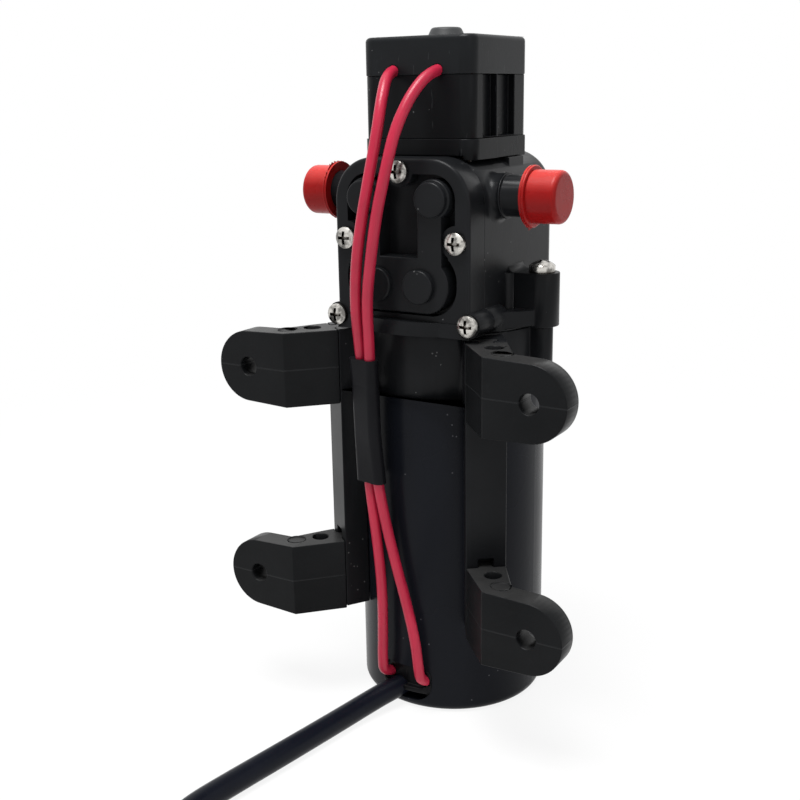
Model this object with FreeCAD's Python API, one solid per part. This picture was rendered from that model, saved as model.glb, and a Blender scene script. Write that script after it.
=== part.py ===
import FreeCAD
import Part
import os
from math import acos, cos, pi, radians, sin, tan

# A small 12 volt diaphragm pump: a brush motor stands upright, a bracket with two rails hugs it, and the
# pump head with its pressure switch sits on top. X is across the ports, the pump cover faces -Y, and Z runs
# up the motor axis from the motor's closed end. All sizes are in millimetres.

V = FreeCAD.Vector
X_AXIS = V(1, 0, 0)
Y_AXIS = V(0, 1, 0)
Z_AXIS = V(0, 0, 1)

# Clearances
RUNNING_GAP = 0.03          # radial, shaft in bearing and cam in its ring
SLIDE_GAP = 0.06            # valve stems, switch piston, port caps, foot tongues
SEAT_GAP = 0.10             # soft or dropped-in pieces in their pockets
AIR_GAP = 0.6               # rotor to magnets

THROUGH = 60.0              # reach of a cut that goes right through a piece
CUT_MARGIN = 5.0            # how far a cut starts in front of the face that it enters

# Motor can
CAN_R = 23.4
CAN_WALL = 1.6
CAN_FLOOR = 2.0
CAN_EDGE_R = 2.3
CAN_H = 81.2
SEAT_WALL = 2.0             # wall of the bearing seats

# Motor inside
SHAFT_R = 2.0
REAR_BEARING_R = 4.5
REAR_BEARING_H = 4.0
FRONT_BEARING_R = 6.5
FRONT_BEARING_H = 4.0
FRONT_PLATE_T = 3.0
FRONT_PLATE_SINK = 0.2      # face of the front plate below the can's rim
CARD_Z = 13.0
CARD_T = 2.0
CARD_HOLE_R = 9.0
COMMUTATOR_R = 6.0
COMMUTATOR_Z = (11.0, 24.0)
COMMUTATOR_BARS = 12
BRUSH = (6.5, 4.0, 5.0)     # along X, across, tall
BRUSH_Z = 18.5
HOLDER_WALL = 0.8
SPRING_ROOM = 5.0           # free length of a brush spring behind its brush
BRUSH_SPRING_R = 1.5
BRUSH_SPRING_WIRE_R = 0.25
BRUSH_SPRING_TURNS = 4
MAGNET_T = 5.2
MAGNET_FLOOR = 29.0         # magnets above the can's bottom
MAGNET_HEADROOM = 11.2      # and below its rim
MAGNET_ARC = 130.0
CORE_INSET = 4.0            # core shorter than the magnets at each end
CORE_SLOTS = 6
SLOT_W = 2.6
SLOT_DEPTH = 8.0
WINDING_OVERHANG = 6.0
WINDING_R = 13.5

# Bracket: collar, rails and ears in one moulding
COLLAR_R = 23.15
COLLAR_WALL = 2.0
COLLAR_H = 15.5
COLLAR_FLOOR_T = 3.0
COLLAR_GAP = 0.1            # collar floor above the can's rim
RAIL_FRONT = (17.2, -24.4)  # outer corners of a rail's slanted face
RAIL_BACK = (24.8, -18.4)
RAIL_FRONT_ANGLE = -54.0    # where a rail's sides meet the can, in degrees from +X
RAIL_BACK_ANGLE = -28.5
RAIL_BOTTOM = 24.2
RAIL_TOP_DROP = 0.45        # rail's top below the collar's
RAIL_GAP = 0.15             # rail to can
EAR_X = 24.6
EAR_R = 2.8
EAR_H = 12.2

# Feet
FOOT_H = 18.3
FOOT_LOW_Z = 23.65
FOOT_HEADROOM = 0.1         # upper feet below the rail's top
FOOT_FRONT_BEND = (26.5, -34.2)
FOOT_BACK_BEND = (31.0, -27.8)
FOOT_HOLE_X = 37.56
FOOT_HOLE_R = 2.35
FOOT_TIP_R = 8.75           # the tab tapers to its round end
FOOT_PIN_HOLE_R = 2.0
FOOT_PIN_HOLE = (24.6, -24.8)
FOOT_MARK_R = 2.25
FOOT_MARK = (28.9, -29.2)
FOOT_MARK_DEPTH = 0.3
FOOT_SEAT_GAP = 0.05        # foot to the rail's face
TONGUE_NECK_W = 3.6
TONGUE_NECK_L = 1.6
TONGUE_HEAD_W = 6.2
TONGUE_HEAD_L = 1.6
POCKET_SPARE = 2.0          # a pocket is longer than its foot by this

# Pump head housing and cover
HEAD_GAP = 0.1              # housing's flange above the collar
HEAD_HALF_W = 17.75
HEAD_H = 39.9
HEAD_CORNER_R = 10.0
LEDGE_H = 3.3
VALVE_RISE = 11.4           # valves' centre line above the housing's floor
PORT_RISE = 31.0            # ports' centre line above the housing's floor
SEAM_Y = -16.2
HEAD_BACK_Y = 22.6
HEAD_BACK_R = 4.6
CHAMBER_R = 14.0
CHAMBER_HEADROOM = 13.7
BOSS_R = 4.2
BOSS_H = 12.7
BOSS_FILLET_R = 1.8         # where a boss grows out of the housing's wall
SIDE_BAR_W = 4.4
SIDE_BAR_RISE = 0.5
SIDE_BAR_H = 3.8

COVER_FRONT_Y = -23.5
COVER_LEDGE_Y = -23.8
COVER_LEDGE_R = 25.8        # the ledge bulges forward round the motor's axis
COVER_FLOOR_Y = -20.2
COVER_RIM_W = 3.5
RECESS_CORNER_R = 5.5
RECESS_HALF_W = 12.4        # lower part of the recess, between the middle screws
COVER_EDGE_R = 0.9
PAD_Y = -24.6
PAD_HALF_W = 12.9
PAD_CORNER_R = 6.0
PAD_MOAT_W = 1.7            # crescent gap round the pad's ends
PAD_MOAT_BELOW = 0.6
PAD_BELOW = 6.2             # the raised pad reaches this far below and above the valves
PAD_ABOVE = 6.5
BUMP_Y = -26.0
BUMP_R = 3.95
BUMP_FOOT_W = 0.5
BUMP_EDGE_R = 0.5
UPPER_BUMP_X = 8.9
LOWER_BUMP_X = 5.5
CHANNEL_IN_X = 5.0
CHANNEL_OUT_X = 11.2
COVER_SKIN = 1.7            # wall over the flow channels
FLOW_CHANNEL_W = 4.6

# Cover screws: top, middle pair, lower pair, as X and height above the housing's floor
COVER_SCREW_TOP = (0.0, 36.9)
COVER_SCREW_MID = (14.55, 21.5)
COVER_SCREW_LOW = (17.58, 3.2)
COVER_SCREW_R = 1.3
COVER_SCREW_BACK_Y = -7.5
COVER_HEAD_R = 2.5
COVER_HEAD_H = 1.9
SCREW_EAR_R = 2.8
SCREW_EAR_BACK_Y = -9.0

# Ports and their caps
PORT_Y = -8.9
PORT_R = 4.7
PORT_BORE_R = 3.0
PORT_L = 14.45              # a port's reach from the housing's side
PORT_COLLAR_R = 5.25
PORT_COLLAR_L = 2.45
PORT_COLLAR_W = 0.5
PORT_ROOT_R = 5.0           # thick root of a port, with a fillet on the housing
PORT_FILLET_R = 1.7
PORT_TIP_CHAMFER = 0.5
CAP_WALL_T = 1.2            # round the port, outside its sliding gap
CAP_END_GAP = 0.2
CAP_END_T = 1.45
CAP_END_R = 1.15            # rounding of the cap's closed end
CAP_L = 8.1
CAP_LIP_R = 6.9
CAP_LIP_W = 1.1
CAP_LIP_EDGE_R = 0.35

# Valves and diaphragm
GASKET_T = 0.8
PLATE_T = 2.8
PLATE_HALF_W = 12.6
PLATE_HALF_H = 8.8
PLATE_CORNER_R = 7.5
VALVE_R = 3.4
VALVE_T = 0.6
VALVE_POCKET_R = 3.9
VALVE_POCKET_DEPTH = 1.2
VALVE_STEM_R = 0.6
VALVE_BULB_R = 0.95
VALVE_BULB_L = 0.35
VALVE_LIFT = 0.4
VALVE_HOLE_R = 0.7
VALVE_HOLE_PCD_R = 2.2
VALVE_HOLES = 5
DIAPHRAGM_R = 8.8
DIAPHRAGM_RIM_W = 1.3
DIAPHRAGM_T = 1.2
HUB_R = 4.4
ECCENTRICITY = 1.2
STROKE_MARGIN = 0.2         # clamp to valve plate at the end of the stroke
CLAMP_T = 1.0
CLAMP_R = 4.0
CLAMP_SCREW_R = 1.2
CLAMP_SCREW_HEAD_R = 2.2
CLAMP_SCREW_L = 3.8

# Cam and connecting rod
CAM_R = 4.0
CAM_H = 6.8
CAM_BEARING_R = 6.2
CAM_BEARING_W = 5.0
ROD_RING_WALL = 1.8
ROD_RING_W = 5.6
ROD_FLANGE_R = 4.6
ROD_FLANGE_T = 1.6
WEIGHT_R = 8.5
WEIGHT_T = 2.6
WEIGHT_DROP = 2.2           # balance weight below the cam
SHAFT_OVER_CAM = 1.8

# Pressure switch
SWITCH_HALF = 14.5
SWITCH_Y = -1.5
SWITCH_CORNER_R = 3.2
SWITCH_CAP_EDGE_R = 1.1     # rounding of the switch's top edges
PEDESTAL_HALF = 13.1
PEDESTAL_HALF_W = 10.0
PEDESTAL_ROOT = 6.0         # how far the pedestal and the blocks reach down into the housing
SHOULDER_BLOCK_X = 15.0     # blocks on the housing's shoulders under the switch
SHOULDER_BLOCK_Y = (1.5, 9.3)
BASE_SPARE = 0.2            # switch base wider than the switch
BASE_SKIRT_X = 12.3         # the base hangs down beside the housing's shoulders from here outward
BASE_SKIRT_H = 1.0
BASE_H = 3.7
SWITCH_BODY_H = 14.0
SWITCH_BODY_INSET = 0.15
CAP_H = 8.5
SWITCH_WALL = 1.8
BASE_STEP_Y = -3.6          # the base's sides are stepped back from here to the rear
BASE_STEP_DEPTH = 0.35
SIDE_POCKETS_Y = ((-10.6, -3.8), (-3.1, 5.3))
SIDE_POCKET_DEPTH = 1.7
SIDE_POCKET_BELOW = 0.3     # solid left under the side pockets, which run up to the cap
SWITCH_BORE_R = 7.4
SWITCH_DIAPHRAGM_R = 9.0
SWITCH_DIAPHRAGM_T = 1.0
PISTON_T = 2.0
PISTON_STEM_R = 2.0
PISTON_STEM_L = 6.2
PISTON_TRAVEL = 0.6
FINGER = (2.0, 3.0)         # the piston's finger under the microswitch, radial and across
SWITCH_SPRING_R = 3.6
SWITCH_SPRING_WIRE_R = 0.35
SWITCH_SPRING_TURNS = 5
BRIDGE_T = 3.1
ADJUSTER_R = 2.4
ADJUSTER_COLLAR_R = 4.4
ADJUSTER_DROP = 2.1         # screw's top below the cap's
ADJUSTER_SOCKET_R = 1.3
MICROSWITCH = (5.6, 11.4, 6.0)   # along X, along Y, tall
MICROSWITCH_X = 6.9              # its centre from the switch axis
BUTTON_R = 0.8
DOME_R = 4.5
DOME_H = 2.2
DOME_TAPER = 1.1
DOME_EDGE_R = 0.9
DOME_STEM_R = 3.2
SWITCH_SCREW_OFFSET = 11.1
SWITCH_SCREW_R = 1.3
SWITCH_SCREW_HEAD_R = 2.3
SWITCH_SCREW_HEAD_H = 1.6
SWITCH_SCREW_SINK = 0.6
SWITCH_SCREW_BITE = 5.8     # length of these screws in the housing

# Flange and motor screws
FLANGE_SCREW_R = 1.5
FLANGE_SCREW_STOP = 2.5     # blind end of the ears' holes
FLANGE_HEAD_R = 3.1
FLANGE_HEAD_H = 2.8
MOTOR_SCREW_X = 11.5
MOTOR_SCREW_R = 1.4
MOTOR_SCREW_HEAD_R = 2.7
MOTOR_SCREW_HEAD_H = 2.0
CROSS_W = 0.7
CROSS_DEPTH = 1.1

# Cables
CABLE_R = 2.75
LEAD_R = 1.3
CORD_ENTRY = 4.0            # how far the cords reach in behind the can's face
CAN_SLOT_X = (-7.8, 6.4)
CAN_SLOT_Z = (2.3, 11.3)
CAN_SLOT_LOW_R = 4.8
CAN_SLOT_HIGH_R = 1.8
CAN_SLOT_REACH = 6.0
GROMMET_BOTTOM = 4.7        # the slot stays open below the grommet
GROMMET_PROUD = 0.5
GROMMET_RIM_W = 1.3         # bead along the grommet's lower and right edge
GROMMET_SINK = 0.9          # the recessed face that the cable and leads come out of, inside the can's face
GROMMET_T = 1.6
LEAD_RISE = 1.1             # leads' holes above the switch body
CONDUCTOR_R = 0.9
CONDUCTOR_L = 16.0
STRIP_L = 5.0
STRAND_R = 0.55
SLEEVE_WALL = 0.45
SLEEVE_SPARE_L = 1.3        # how far the sleeve's folds stand out past the leads
SLEEVE_SPARE_R = 0.3
SLEEVE_TOP = 91.0
SLEEVE_L = 30.4
SLEEVE_STEPS = (0.0, 0.2105, 0.605, 1.0)   # where the sleeve's sections are taken, at bends of the leads

# Routes of the cable and the two leads, chosen by hand
CORD_END_Y = -CAN_R + CORD_ENTRY
CABLE_ROUTE = [
    (-2.1, CORD_END_Y, 5.0), (-5.0, -26.6, 4.0), (-6.9, -32.2, 3.2), (-8.5, -39.2, 2.75),
    (-10.0, -48.5, 2.75), (-12.2, -61.5, 2.75), (-14.7, -75.5, 2.75), (-16.7, -88.5, 2.75),
    (-14.3, -100.8, 2.75), (-8.0, -111.6, 2.75), (1.6, -119.6, 2.75), (13.3, -124.1, 2.75),
    (26.1, -124.9, 2.75), (39.4, -122.8, 2.75), (52.4, -123.3, 2.75),
]
LEFT_LEAD_ROUTE = [
    (-6.1, -14.5, 155.7), (-5.0, -19.6, 155.2), (-2.9, -25.4, 150.2), (-2.2, -29.2, 141.6),
    (-3.3, -31.2, 132.1), (-5.3, -31.4, 123.1), (-7.1, -31.2, 113.6), (-8.3, -30.2, 103.6),
    (-8.5, -28.6, 94.1), (-8.6, -27.0, 84.6), (-8.5, -26.7, 72.6), (-8.1, -26.7, 61.1),
    (-6.8, -26.6, 50.6), (-5.9, -26.1, 39.6), (-5.4, -25.9, 29.1), (-5.6, -25.9, 19.1),
    (-5.8, -25.9, 13.4), (-6.0, -25.3, 8.7), (-5.6, CORD_END_Y, 7.3),
]
RIGHT_LEAD_ROUTE = [
    (5.85, -14.5, 155.7), (5.5, -18.9, 155.2), (3.9, -24.6, 150.3), (2.3, -28.9, 142.8),
    (1.2, -31.0, 134.6), (-1.0, -31.5, 125.6), (-2.9, -31.4, 115.6), (-4.95, -30.5, 105.1),
    (-5.4, -29.2, 95.1), (-5.8, -28.4, 84.6), (-5.7, -28.2, 72.6), (-5.0, -27.6, 61.1),
    (-3.6, -26.7, 50.6), (-1.1, -26.2, 39.6), (1.6, -25.9, 29.6), (3.9, -25.9, 20.1),
    (4.6, -25.8, 12.8), (4.7, -24.9, 8.8), (5.1, CORD_END_Y, 6.8),
]


# Heights that follow from the sizes above, from the motor's bottom face up to the dome plug

collar_bottom = CAN_H + COLLAR_GAP
collar_top = collar_bottom + COLLAR_H
magnet_z = (MAGNET_FLOOR, CAN_H - MAGNET_HEADROOM)
core_z = (magnet_z[0] + CORE_INSET, magnet_z[1] - CORE_INSET)
rail_top = collar_top - RAIL_TOP_DROP
ear_bottom = collar_top - EAR_H
flange_screw_bottom = ear_bottom + FLANGE_SCREW_STOP
foot_high_z = rail_top - FOOT_HEADROOM - FOOT_H
head_floor = collar_top + HEAD_GAP
ledge_top = head_floor + LEDGE_H
valve_z = head_floor + VALVE_RISE
port_z = head_floor + PORT_RISE
head_top = head_floor + HEAD_H
boss_top = head_floor + BOSS_H
pad_z = (valve_z - PAD_BELOW, valve_z + PAD_ABOVE)
chamber_top = valve_z + CHAMBER_HEADROOM
side_bar_z = (head_floor + SIDE_BAR_RISE, head_floor + SIDE_BAR_RISE + SIDE_BAR_H)
cam_z = (valve_z - CAM_H / 2, valve_z + CAM_H / 2)
shaft_top = cam_z[1] + SHAFT_OVER_CAM
base_z = (head_top + HEAD_GAP, head_top + HEAD_GAP + BASE_H)
switch_body_top = base_z[1] + SWITCH_BODY_H
cap_top = switch_body_top + CAP_H
bridge_bottom = switch_body_top - BRIDGE_T
adjuster_top = cap_top - ADJUSTER_DROP
dome_top = cap_top + DOME_H
switch_screw_bottom = base_z[0] - SWITCH_SCREW_BITE
lead_top_z = switch_body_top + LEAD_RISE
side_pocket_bottom = base_z[1] + SIDE_POCKET_BELOW
rod_ring_r = CAM_BEARING_R + ROD_RING_WALL
cap_r = PORT_R + SLIDE_GAP + CAP_WALL_T
port_end_x = HEAD_HALF_W + PORT_L
port_collar_x = HEAD_HALF_W + PORT_COLLAR_L
port_root_x = port_collar_x - PORT_COLLAR_W
cap_end_x = port_end_x + CAP_END_GAP + CAP_END_T
cap_mouth_x = cap_end_x - CAP_L


# Small helpers

def place(plane, u, v, w):
    """A point of a flat outline: (u, v) in the named plane, w along its normal."""
    return {"XY": V(u, v, w), "XZ": V(u, w, v), "YZ": V(w, u, v)}[plane]


def plate(outline, plane, w0, w1):
    """A plate of the outline between w0 and w1. A point is (u, v), or (um, vm, u, v) at an arc's end."""
    edges = []
    last = outline[0]
    for point in list(outline[1:]) + [outline[0]]:
        start = place(plane, last[-2], last[-1], w0)
        end = place(plane, point[-2], point[-1], w0)
        if len(point) == 4:
            middle = place(plane, point[0], point[1], w0)
            edges.append(Part.Arc(start, middle, end).toShape())
        elif start.distanceToPoint(end) > 1e-6:
            edges.append(Part.LineSegment(start, end).toShape())
        last = point
    face = Part.Face(Part.Wire(edges))
    return face.extrude(place(plane, 0, 0, w1) - place(plane, 0, 0, w0))


def rounded(u0, u1, v0, v1, low_r, high_r=None):
    """A rectangle's outline with rounded corners, one radius for the low side and one for the high."""
    high_r = low_r if high_r is None else high_r
    a = low_r * (1 - cos(pi / 4))
    b = high_r * (1 - cos(pi / 4))
    points = [(u0 + low_r, v0), (u1 - low_r, v0)]
    points += [(u1 - a, v0 + a, u1, v0 + low_r)] if low_r else []
    points += [(u1, v1 - high_r)]
    points += [(u1 - b, v1 - b, u1 - high_r, v1)] if high_r else []
    points += [(u0 + high_r, v1)]
    points += [(u0 + b, v1 - b, u0, v1 - high_r)] if high_r else []
    points += [(u0, v0 + low_r)]
    points += [(u0 + a, v0 + a, u0 + low_r, v0)] if low_r else []
    return points


def box(x0, x1, y0, y1, z0, z1):
    return Part.makeBox(x1 - x0, y1 - y0, z1 - z0, V(x0, y0, z0))


def rod(r, start, end):
    """A cylinder between two points."""
    way = end - start
    return Part.makeCylinder(r, way.Length, start, way)


def upright(r, x, y, z0, z1):
    return rod(r, V(x, y, z0), V(x, y, z1))


def along_y(r, x, z, y0, y1):
    return rod(r, V(x, y0, z), V(x, y1, z))


def along_x(r, y, z, x0, x1):
    return rod(r, V(x0, y, z), V(x1, y, z))


def turned(profile, axis_point=V(0, 0, 0), axis=Z_AXIS):
    """A closed profile of edges turned about an axis."""
    return Part.Face(Part.Wire(profile)).revolve(axis_point, axis, 360)


def lines(points):
    return [Part.LineSegment(a, b).toShape() for a, b in zip(points, points[1:] + points[:1])]


def mirrored(shape):
    return shape.mirror(V(0, 0, 0), X_AXIS)


def both_sides(shape):
    return [shape, mirrored(shape)]


def joined(*shapes):
    body = shapes[0].fuse(list(shapes[1:])).removeSplitter()
    return body


def export(name, *shapes):
    solids = [s for shape in shapes for s in shape.Solids]
    for solid in solids:
        if not solid.isValid() or solid.Volume <= 0:
            print("check", name, solid.isValid(), solid.Volume)
    shape = solids[0] if len(solids) == 1 else Part.makeCompound(solids)
    shape.exportStep("parts/" + name + ".step")


def cord_path(points, name, radius):
    """Straight runs joined by tangent arcs, as large as the two runs at each point allow."""
    edges = []
    radii = []
    start = points[0]
    for before, here, after in zip(points, points[1:], points[2:]):
        back = (before - here).normalize()
        ahead = (after - here).normalize()
        run = min(before.distanceToPoint(here), after.distanceToPoint(here))
        half_turn = (pi - acos(max(-1, min(1, back.dot(ahead))))) / 2
        reach = 0.45 * run
        arc_r = reach / tan(half_turn)
        radii.append(round(arc_r, 1))
        enter = here + back * reach
        leave = here + ahead * reach
        bisector = (back + ahead).normalize()
        centre_distance = arc_r / cos(half_turn)
        middle = here + bisector * (centre_distance - arc_r)
        edges.append(Part.LineSegment(start, enter).toShape())
        edges.append(Part.Arc(enter, middle, leave).toShape())
        start = leave
    edges.append(Part.LineSegment(start, points[-1]).toShape())
    wire = Part.Wire(edges)
    print(name, "length", round(wire.Length, 1), "radii", radii, "least in diameters",
          round(min(radii) / (2 * radius), 1))
    return wire


def tube(route, radius, name):
    """A round cord along its route, with its volume set against section times length."""
    points = [V(*p) for p in route]
    wire = cord_path(points, name, radius)
    section = Part.Wire(Part.makeCircle(radius, points[0], points[1] - points[0]))
    shell = Part.BRepOffsetAPI.MakePipeShell(wire)
    shell.add(section)
    shell.build()
    shell.makeSolid()
    solid = shell.shape()
    wanted = pi * radius ** 2 * wire.Length
    print(name, "volume over section times length", round(solid.Volume / wanted, 4))
    return solid


def coil(radius, wire_r, turns, z0, z1, x=0.0, y=0.0):
    """A helical spring as one unbroken tube, on arcs of a quarter turn."""
    steps = turns * 4
    rise = (z1 - z0 - 2 * wire_r) / steps

    def at(step):
        angle = step * pi / 2
        return V(x + radius * cos(angle), y + radius * sin(angle), z0 + wire_r + rise * step)

    edges = [Part.Arc(at(i), at(i + 0.5), at(i + 1)).toShape() for i in range(steps)]
    path = Part.Wire(edges)
    start = at(0)
    section = Part.Wire(Part.makeCircle(wire_r, start, edges[0].tangentAt(edges[0].FirstParameter)))
    shell = Part.BRepOffsetAPI.MakePipeShell(path)
    shell.add(section)
    shell.build()
    shell.makeSolid()
    print("spring pitch", round(rise * 4, 2), "least gap", round(rise * 4 - 2 * wire_r, 2))
    return shell.shape()


def crossed_head(r, height, base, way):
    """A pan head on its base point, with a domed top and a crossed recess."""
    dome_r = (r ** 2 + (0.45 * height) ** 2) / (0.9 * height)
    head = rod(r, base, base + way * height)
    ball = Part.makeSphere(dome_r, base + way * (height - dome_r))
    head = head.common(ball)
    top = base + way * height
    side = X_AXIS if abs(way.x) < 0.5 else Y_AXIS
    other = way.cross(side)
    arm = 0.62 * r
    for u, v in ((side, other), (other, side)):
        corner = top - u * arm - v * (CROSS_W / 2) - way * CROSS_DEPTH
        slot = Part.Face(Part.makePolygon([
            corner, corner + u * 2 * arm, corner + u * 2 * arm + v * CROSS_W, corner + v * CROSS_W, corner]))
        head = head.cut(slot.extrude(way * (CROSS_DEPTH + 1)))
    return head


def pan_screw(head_r, head_h, shank_r, base, way, shank_end):
    """A screw with its head's underside at base, and its shank going the other way to shank_end."""
    return joined(crossed_head(head_r, head_h, base, way), rod(shank_r, base + way * 0.3, shank_end))


# Motor

can_inner_r = CAN_R - CAN_WALL
front_plate_top = CAN_H - FRONT_PLATE_SINK
front_plate_bottom = front_plate_top - FRONT_PLATE_T
seat_r = REAR_BEARING_R + SEAT_WALL


def can_profile():
    """Half section of the can: closed end with a rounded edge, and a seat for the rear bearing."""
    turn = 1 - cos(pi / 4)
    inner_edge_r = CAN_EDGE_R - CAN_WALL
    seat_top = CAN_FLOOR + REAR_BEARING_H
    edges = [
        Part.LineSegment(V(0, 0, 0), V(CAN_R - CAN_EDGE_R, 0, 0)),
        Part.Arc(V(CAN_R - CAN_EDGE_R, 0, 0), V(CAN_R - CAN_EDGE_R * turn, 0, CAN_EDGE_R * turn),
                 V(CAN_R, 0, CAN_EDGE_R)),
        Part.LineSegment(V(CAN_R, 0, CAN_EDGE_R), V(CAN_R, 0, CAN_H)),
        Part.LineSegment(V(CAN_R, 0, CAN_H), V(can_inner_r, 0, CAN_H)),
        Part.LineSegment(V(can_inner_r, 0, CAN_H), V(can_inner_r, 0, CAN_FLOOR + inner_edge_r)),
        Part.Arc(V(can_inner_r, 0, CAN_FLOOR + inner_edge_r),
                 V(can_inner_r - inner_edge_r * turn, 0, CAN_FLOOR + inner_edge_r * turn),
                 V(can_inner_r - inner_edge_r, 0, CAN_FLOOR)),
        Part.LineSegment(V(can_inner_r - inner_edge_r, 0, CAN_FLOOR), V(seat_r, 0, CAN_FLOOR)),
        Part.LineSegment(V(seat_r, 0, CAN_FLOOR), V(seat_r, 0, seat_top)),
        Part.LineSegment(V(seat_r, 0, seat_top), V(REAR_BEARING_R, 0, seat_top)),
        Part.LineSegment(V(REAR_BEARING_R, 0, seat_top), V(REAR_BEARING_R, 0, CAN_FLOOR)),
        Part.LineSegment(V(REAR_BEARING_R, 0, CAN_FLOOR), V(0, 0, CAN_FLOOR)),
        Part.LineSegment(V(0, 0, CAN_FLOOR), V(0, 0, 0)),
    ]
    return [e.toShape() for e in edges]


def can_slot():
    """The block that the slot in the can's front leaves open."""
    outline = rounded(*CAN_SLOT_X, *CAN_SLOT_Z, CAN_SLOT_LOW_R, CAN_SLOT_HIGH_R)
    return plate(outline, "XZ", -CAN_R - CUT_MARGIN, -CAN_R + CAN_SLOT_REACH)


def make_motor_can():
    return turned(can_profile()).cut(can_slot())


def make_bearing(r, height, z):
    return upright(r, 0, 0, z, z + height).cut(upright(SHAFT_R + RUNNING_GAP, 0, 0, z - 1, z + height + 1))


def make_front_plate():
    body = upright(can_inner_r, 0, 0, front_plate_bottom, front_plate_top)
    seat = upright(FRONT_BEARING_R + SEAT_WALL, 0, 0, front_plate_top - FRONT_BEARING_H, front_plate_top)
    body = joined(body, seat)
    body = body.cut(upright(FRONT_BEARING_R, 0, 0, front_plate_top - FRONT_BEARING_H, front_plate_top + 1))
    body = body.cut(upright(SHAFT_R + 1.0, 0, 0, front_plate_bottom - 3, front_plate_top))
    for hole in both_sides(upright(MOTOR_SCREW_R, MOTOR_SCREW_X, 0, front_plate_bottom - 1, CAN_H)):
        body = body.cut(hole)
    return body


def make_magnet():
    """One magnet shell on the +Y side, a ring segment against the can."""
    ring = upright(can_inner_r, 0, 0, *magnet_z).cut(upright(can_inner_r - MAGNET_T, 0, 0, *magnet_z))
    half = radians(MAGNET_ARC / 2)
    reach = 2 * CAN_R
    wedge = [(0, 0), (reach * sin(half), reach * cos(half)), (reach * sin(half), reach * 2),
             (-reach * sin(half), reach * 2), (-reach * sin(half), reach * cos(half))]
    return ring.common(plate(wedge, "XY", *magnet_z))


core_r = can_inner_r - MAGNET_T - AIR_GAP


def make_rotor_core():
    body = upright(core_r, 0, 0, *core_z)
    slot = box(core_r - SLOT_DEPTH, core_r + 1, -SLOT_W / 2, SLOT_W / 2, core_z[0] - 1, core_z[1] + 1)
    for i in range(CORE_SLOTS):
        body = body.cut(slot.rotated(V(0, 0, 0), Z_AXIS, i * 360 / CORE_SLOTS))
    return body.cut(upright(SHAFT_R, 0, 0, *core_z))


def make_rotor_windings():
    """Copper in the slots and the overhangs at both ends of the core, in one piece."""
    low = (core_z[0] - WINDING_OVERHANG, core_z[0])
    high = (core_z[1], core_z[1] + WINDING_OVERHANG)
    body = None
    for z0, z1 in (low, high):
        ring = upright(WINDING_R, 0, 0, z0, z1)
        edges = [e for e in ring.Edges if abs(e.BoundBox.ZMin - (z0 if z0 == low[0] else z1)) < 0.01
                 and abs(e.BoundBox.ZMax - (z0 if z0 == low[0] else z1)) < 0.01]
        ring = ring.makeFillet(WINDING_OVERHANG * 0.4, edges)
        body = ring if body is None else body.fuse(ring)
    fill = box(core_r - SLOT_DEPTH, WINDING_R, -SLOT_W / 2, SLOT_W / 2, low[1], high[0])
    fills = [fill.rotated(V(0, 0, 0), Z_AXIS, i * 360 / CORE_SLOTS) for i in range(CORE_SLOTS)]
    body = body.fuse(fills).removeSplitter()
    return body.cut(upright(SHAFT_R, 0, 0, low[0] - 1, high[1] + 1))


def make_commutator():
    body = upright(COMMUTATOR_R, 0, 0, *COMMUTATOR_Z)
    for i in range(COMMUTATOR_BARS):
        gap = box(COMMUTATOR_R - 0.8, COMMUTATOR_R + 1, -0.2, 0.2, COMMUTATOR_Z[0] + 2, COMMUTATOR_Z[1] + 1)
        body = body.cut(gap.rotated(V(0, 0, 0), Z_AXIS, (i + 0.5) * 360 / COMMUTATOR_BARS))
    return body.cut(upright(SHAFT_R, 0, 0, *COMMUTATOR_Z))


brush_inner_x = COMMUTATOR_R + RUNNING_GAP
brush_outer_x = brush_inner_x + BRUSH[0]
holder_outer_x = brush_outer_x + SPRING_ROOM


def make_brush():
    half_w = BRUSH[1] / 2
    z0 = BRUSH_Z - BRUSH[2] / 2
    body = box(brush_inner_x - 0.6, brush_outer_x, -half_w, half_w, z0, z0 + BRUSH[2])
    return body.cut(upright(brush_inner_x, 0, 0, z0 - 1, z0 + BRUSH[2] + 1))


def make_brush_spring():
    spring = coil(BRUSH_SPRING_R, BRUSH_SPRING_WIRE_R, BRUSH_SPRING_TURNS, 0, SPRING_ROOM)
    spring.rotate(V(0, 0, 0), Y_AXIS, 90)
    spring.translate(V(brush_outer_x, 0, BRUSH_Z))
    return spring


def make_brush_card():
    """A round card with a holder tube for each brush, closed at its outer end."""
    body = upright(can_inner_r - SEAT_GAP, 0, 0, CARD_Z, CARD_Z + CARD_T)
    body = body.cut(upright(CARD_HOLE_R, 0, 0, CARD_Z - 1, CARD_Z + CARD_T + 1))
    half_w = BRUSH[1] / 2 + SLIDE_GAP
    half_h = BRUSH[2] / 2 + SLIDE_GAP
    inner_end = COMMUTATOR_R + 2.0
    outer = box(inner_end, holder_outer_x + HOLDER_WALL, -half_w - HOLDER_WALL, half_w + HOLDER_WALL,
                CARD_Z, BRUSH_Z + half_h + HOLDER_WALL)
    hollow = box(inner_end - 1, holder_outer_x, -half_w, half_w, BRUSH_Z - half_h, BRUSH_Z + half_h)
    for side in both_sides(outer):
        body = body.fuse(side)
    for side in both_sides(hollow):
        body = body.cut(side)
    return body.removeSplitter()


# Bracket

rail_inner_r = CAN_R + RAIL_GAP
rail_mid = V((RAIL_FRONT[0] + RAIL_BACK[0]) / 2, (RAIL_FRONT[1] + RAIL_BACK[1]) / 2, 0)
rail_along = (V(*RAIL_BACK, 0) - V(*RAIL_FRONT, 0)).normalize()
rail_out = V(rail_along.y, -rail_along.x, 0)


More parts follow.
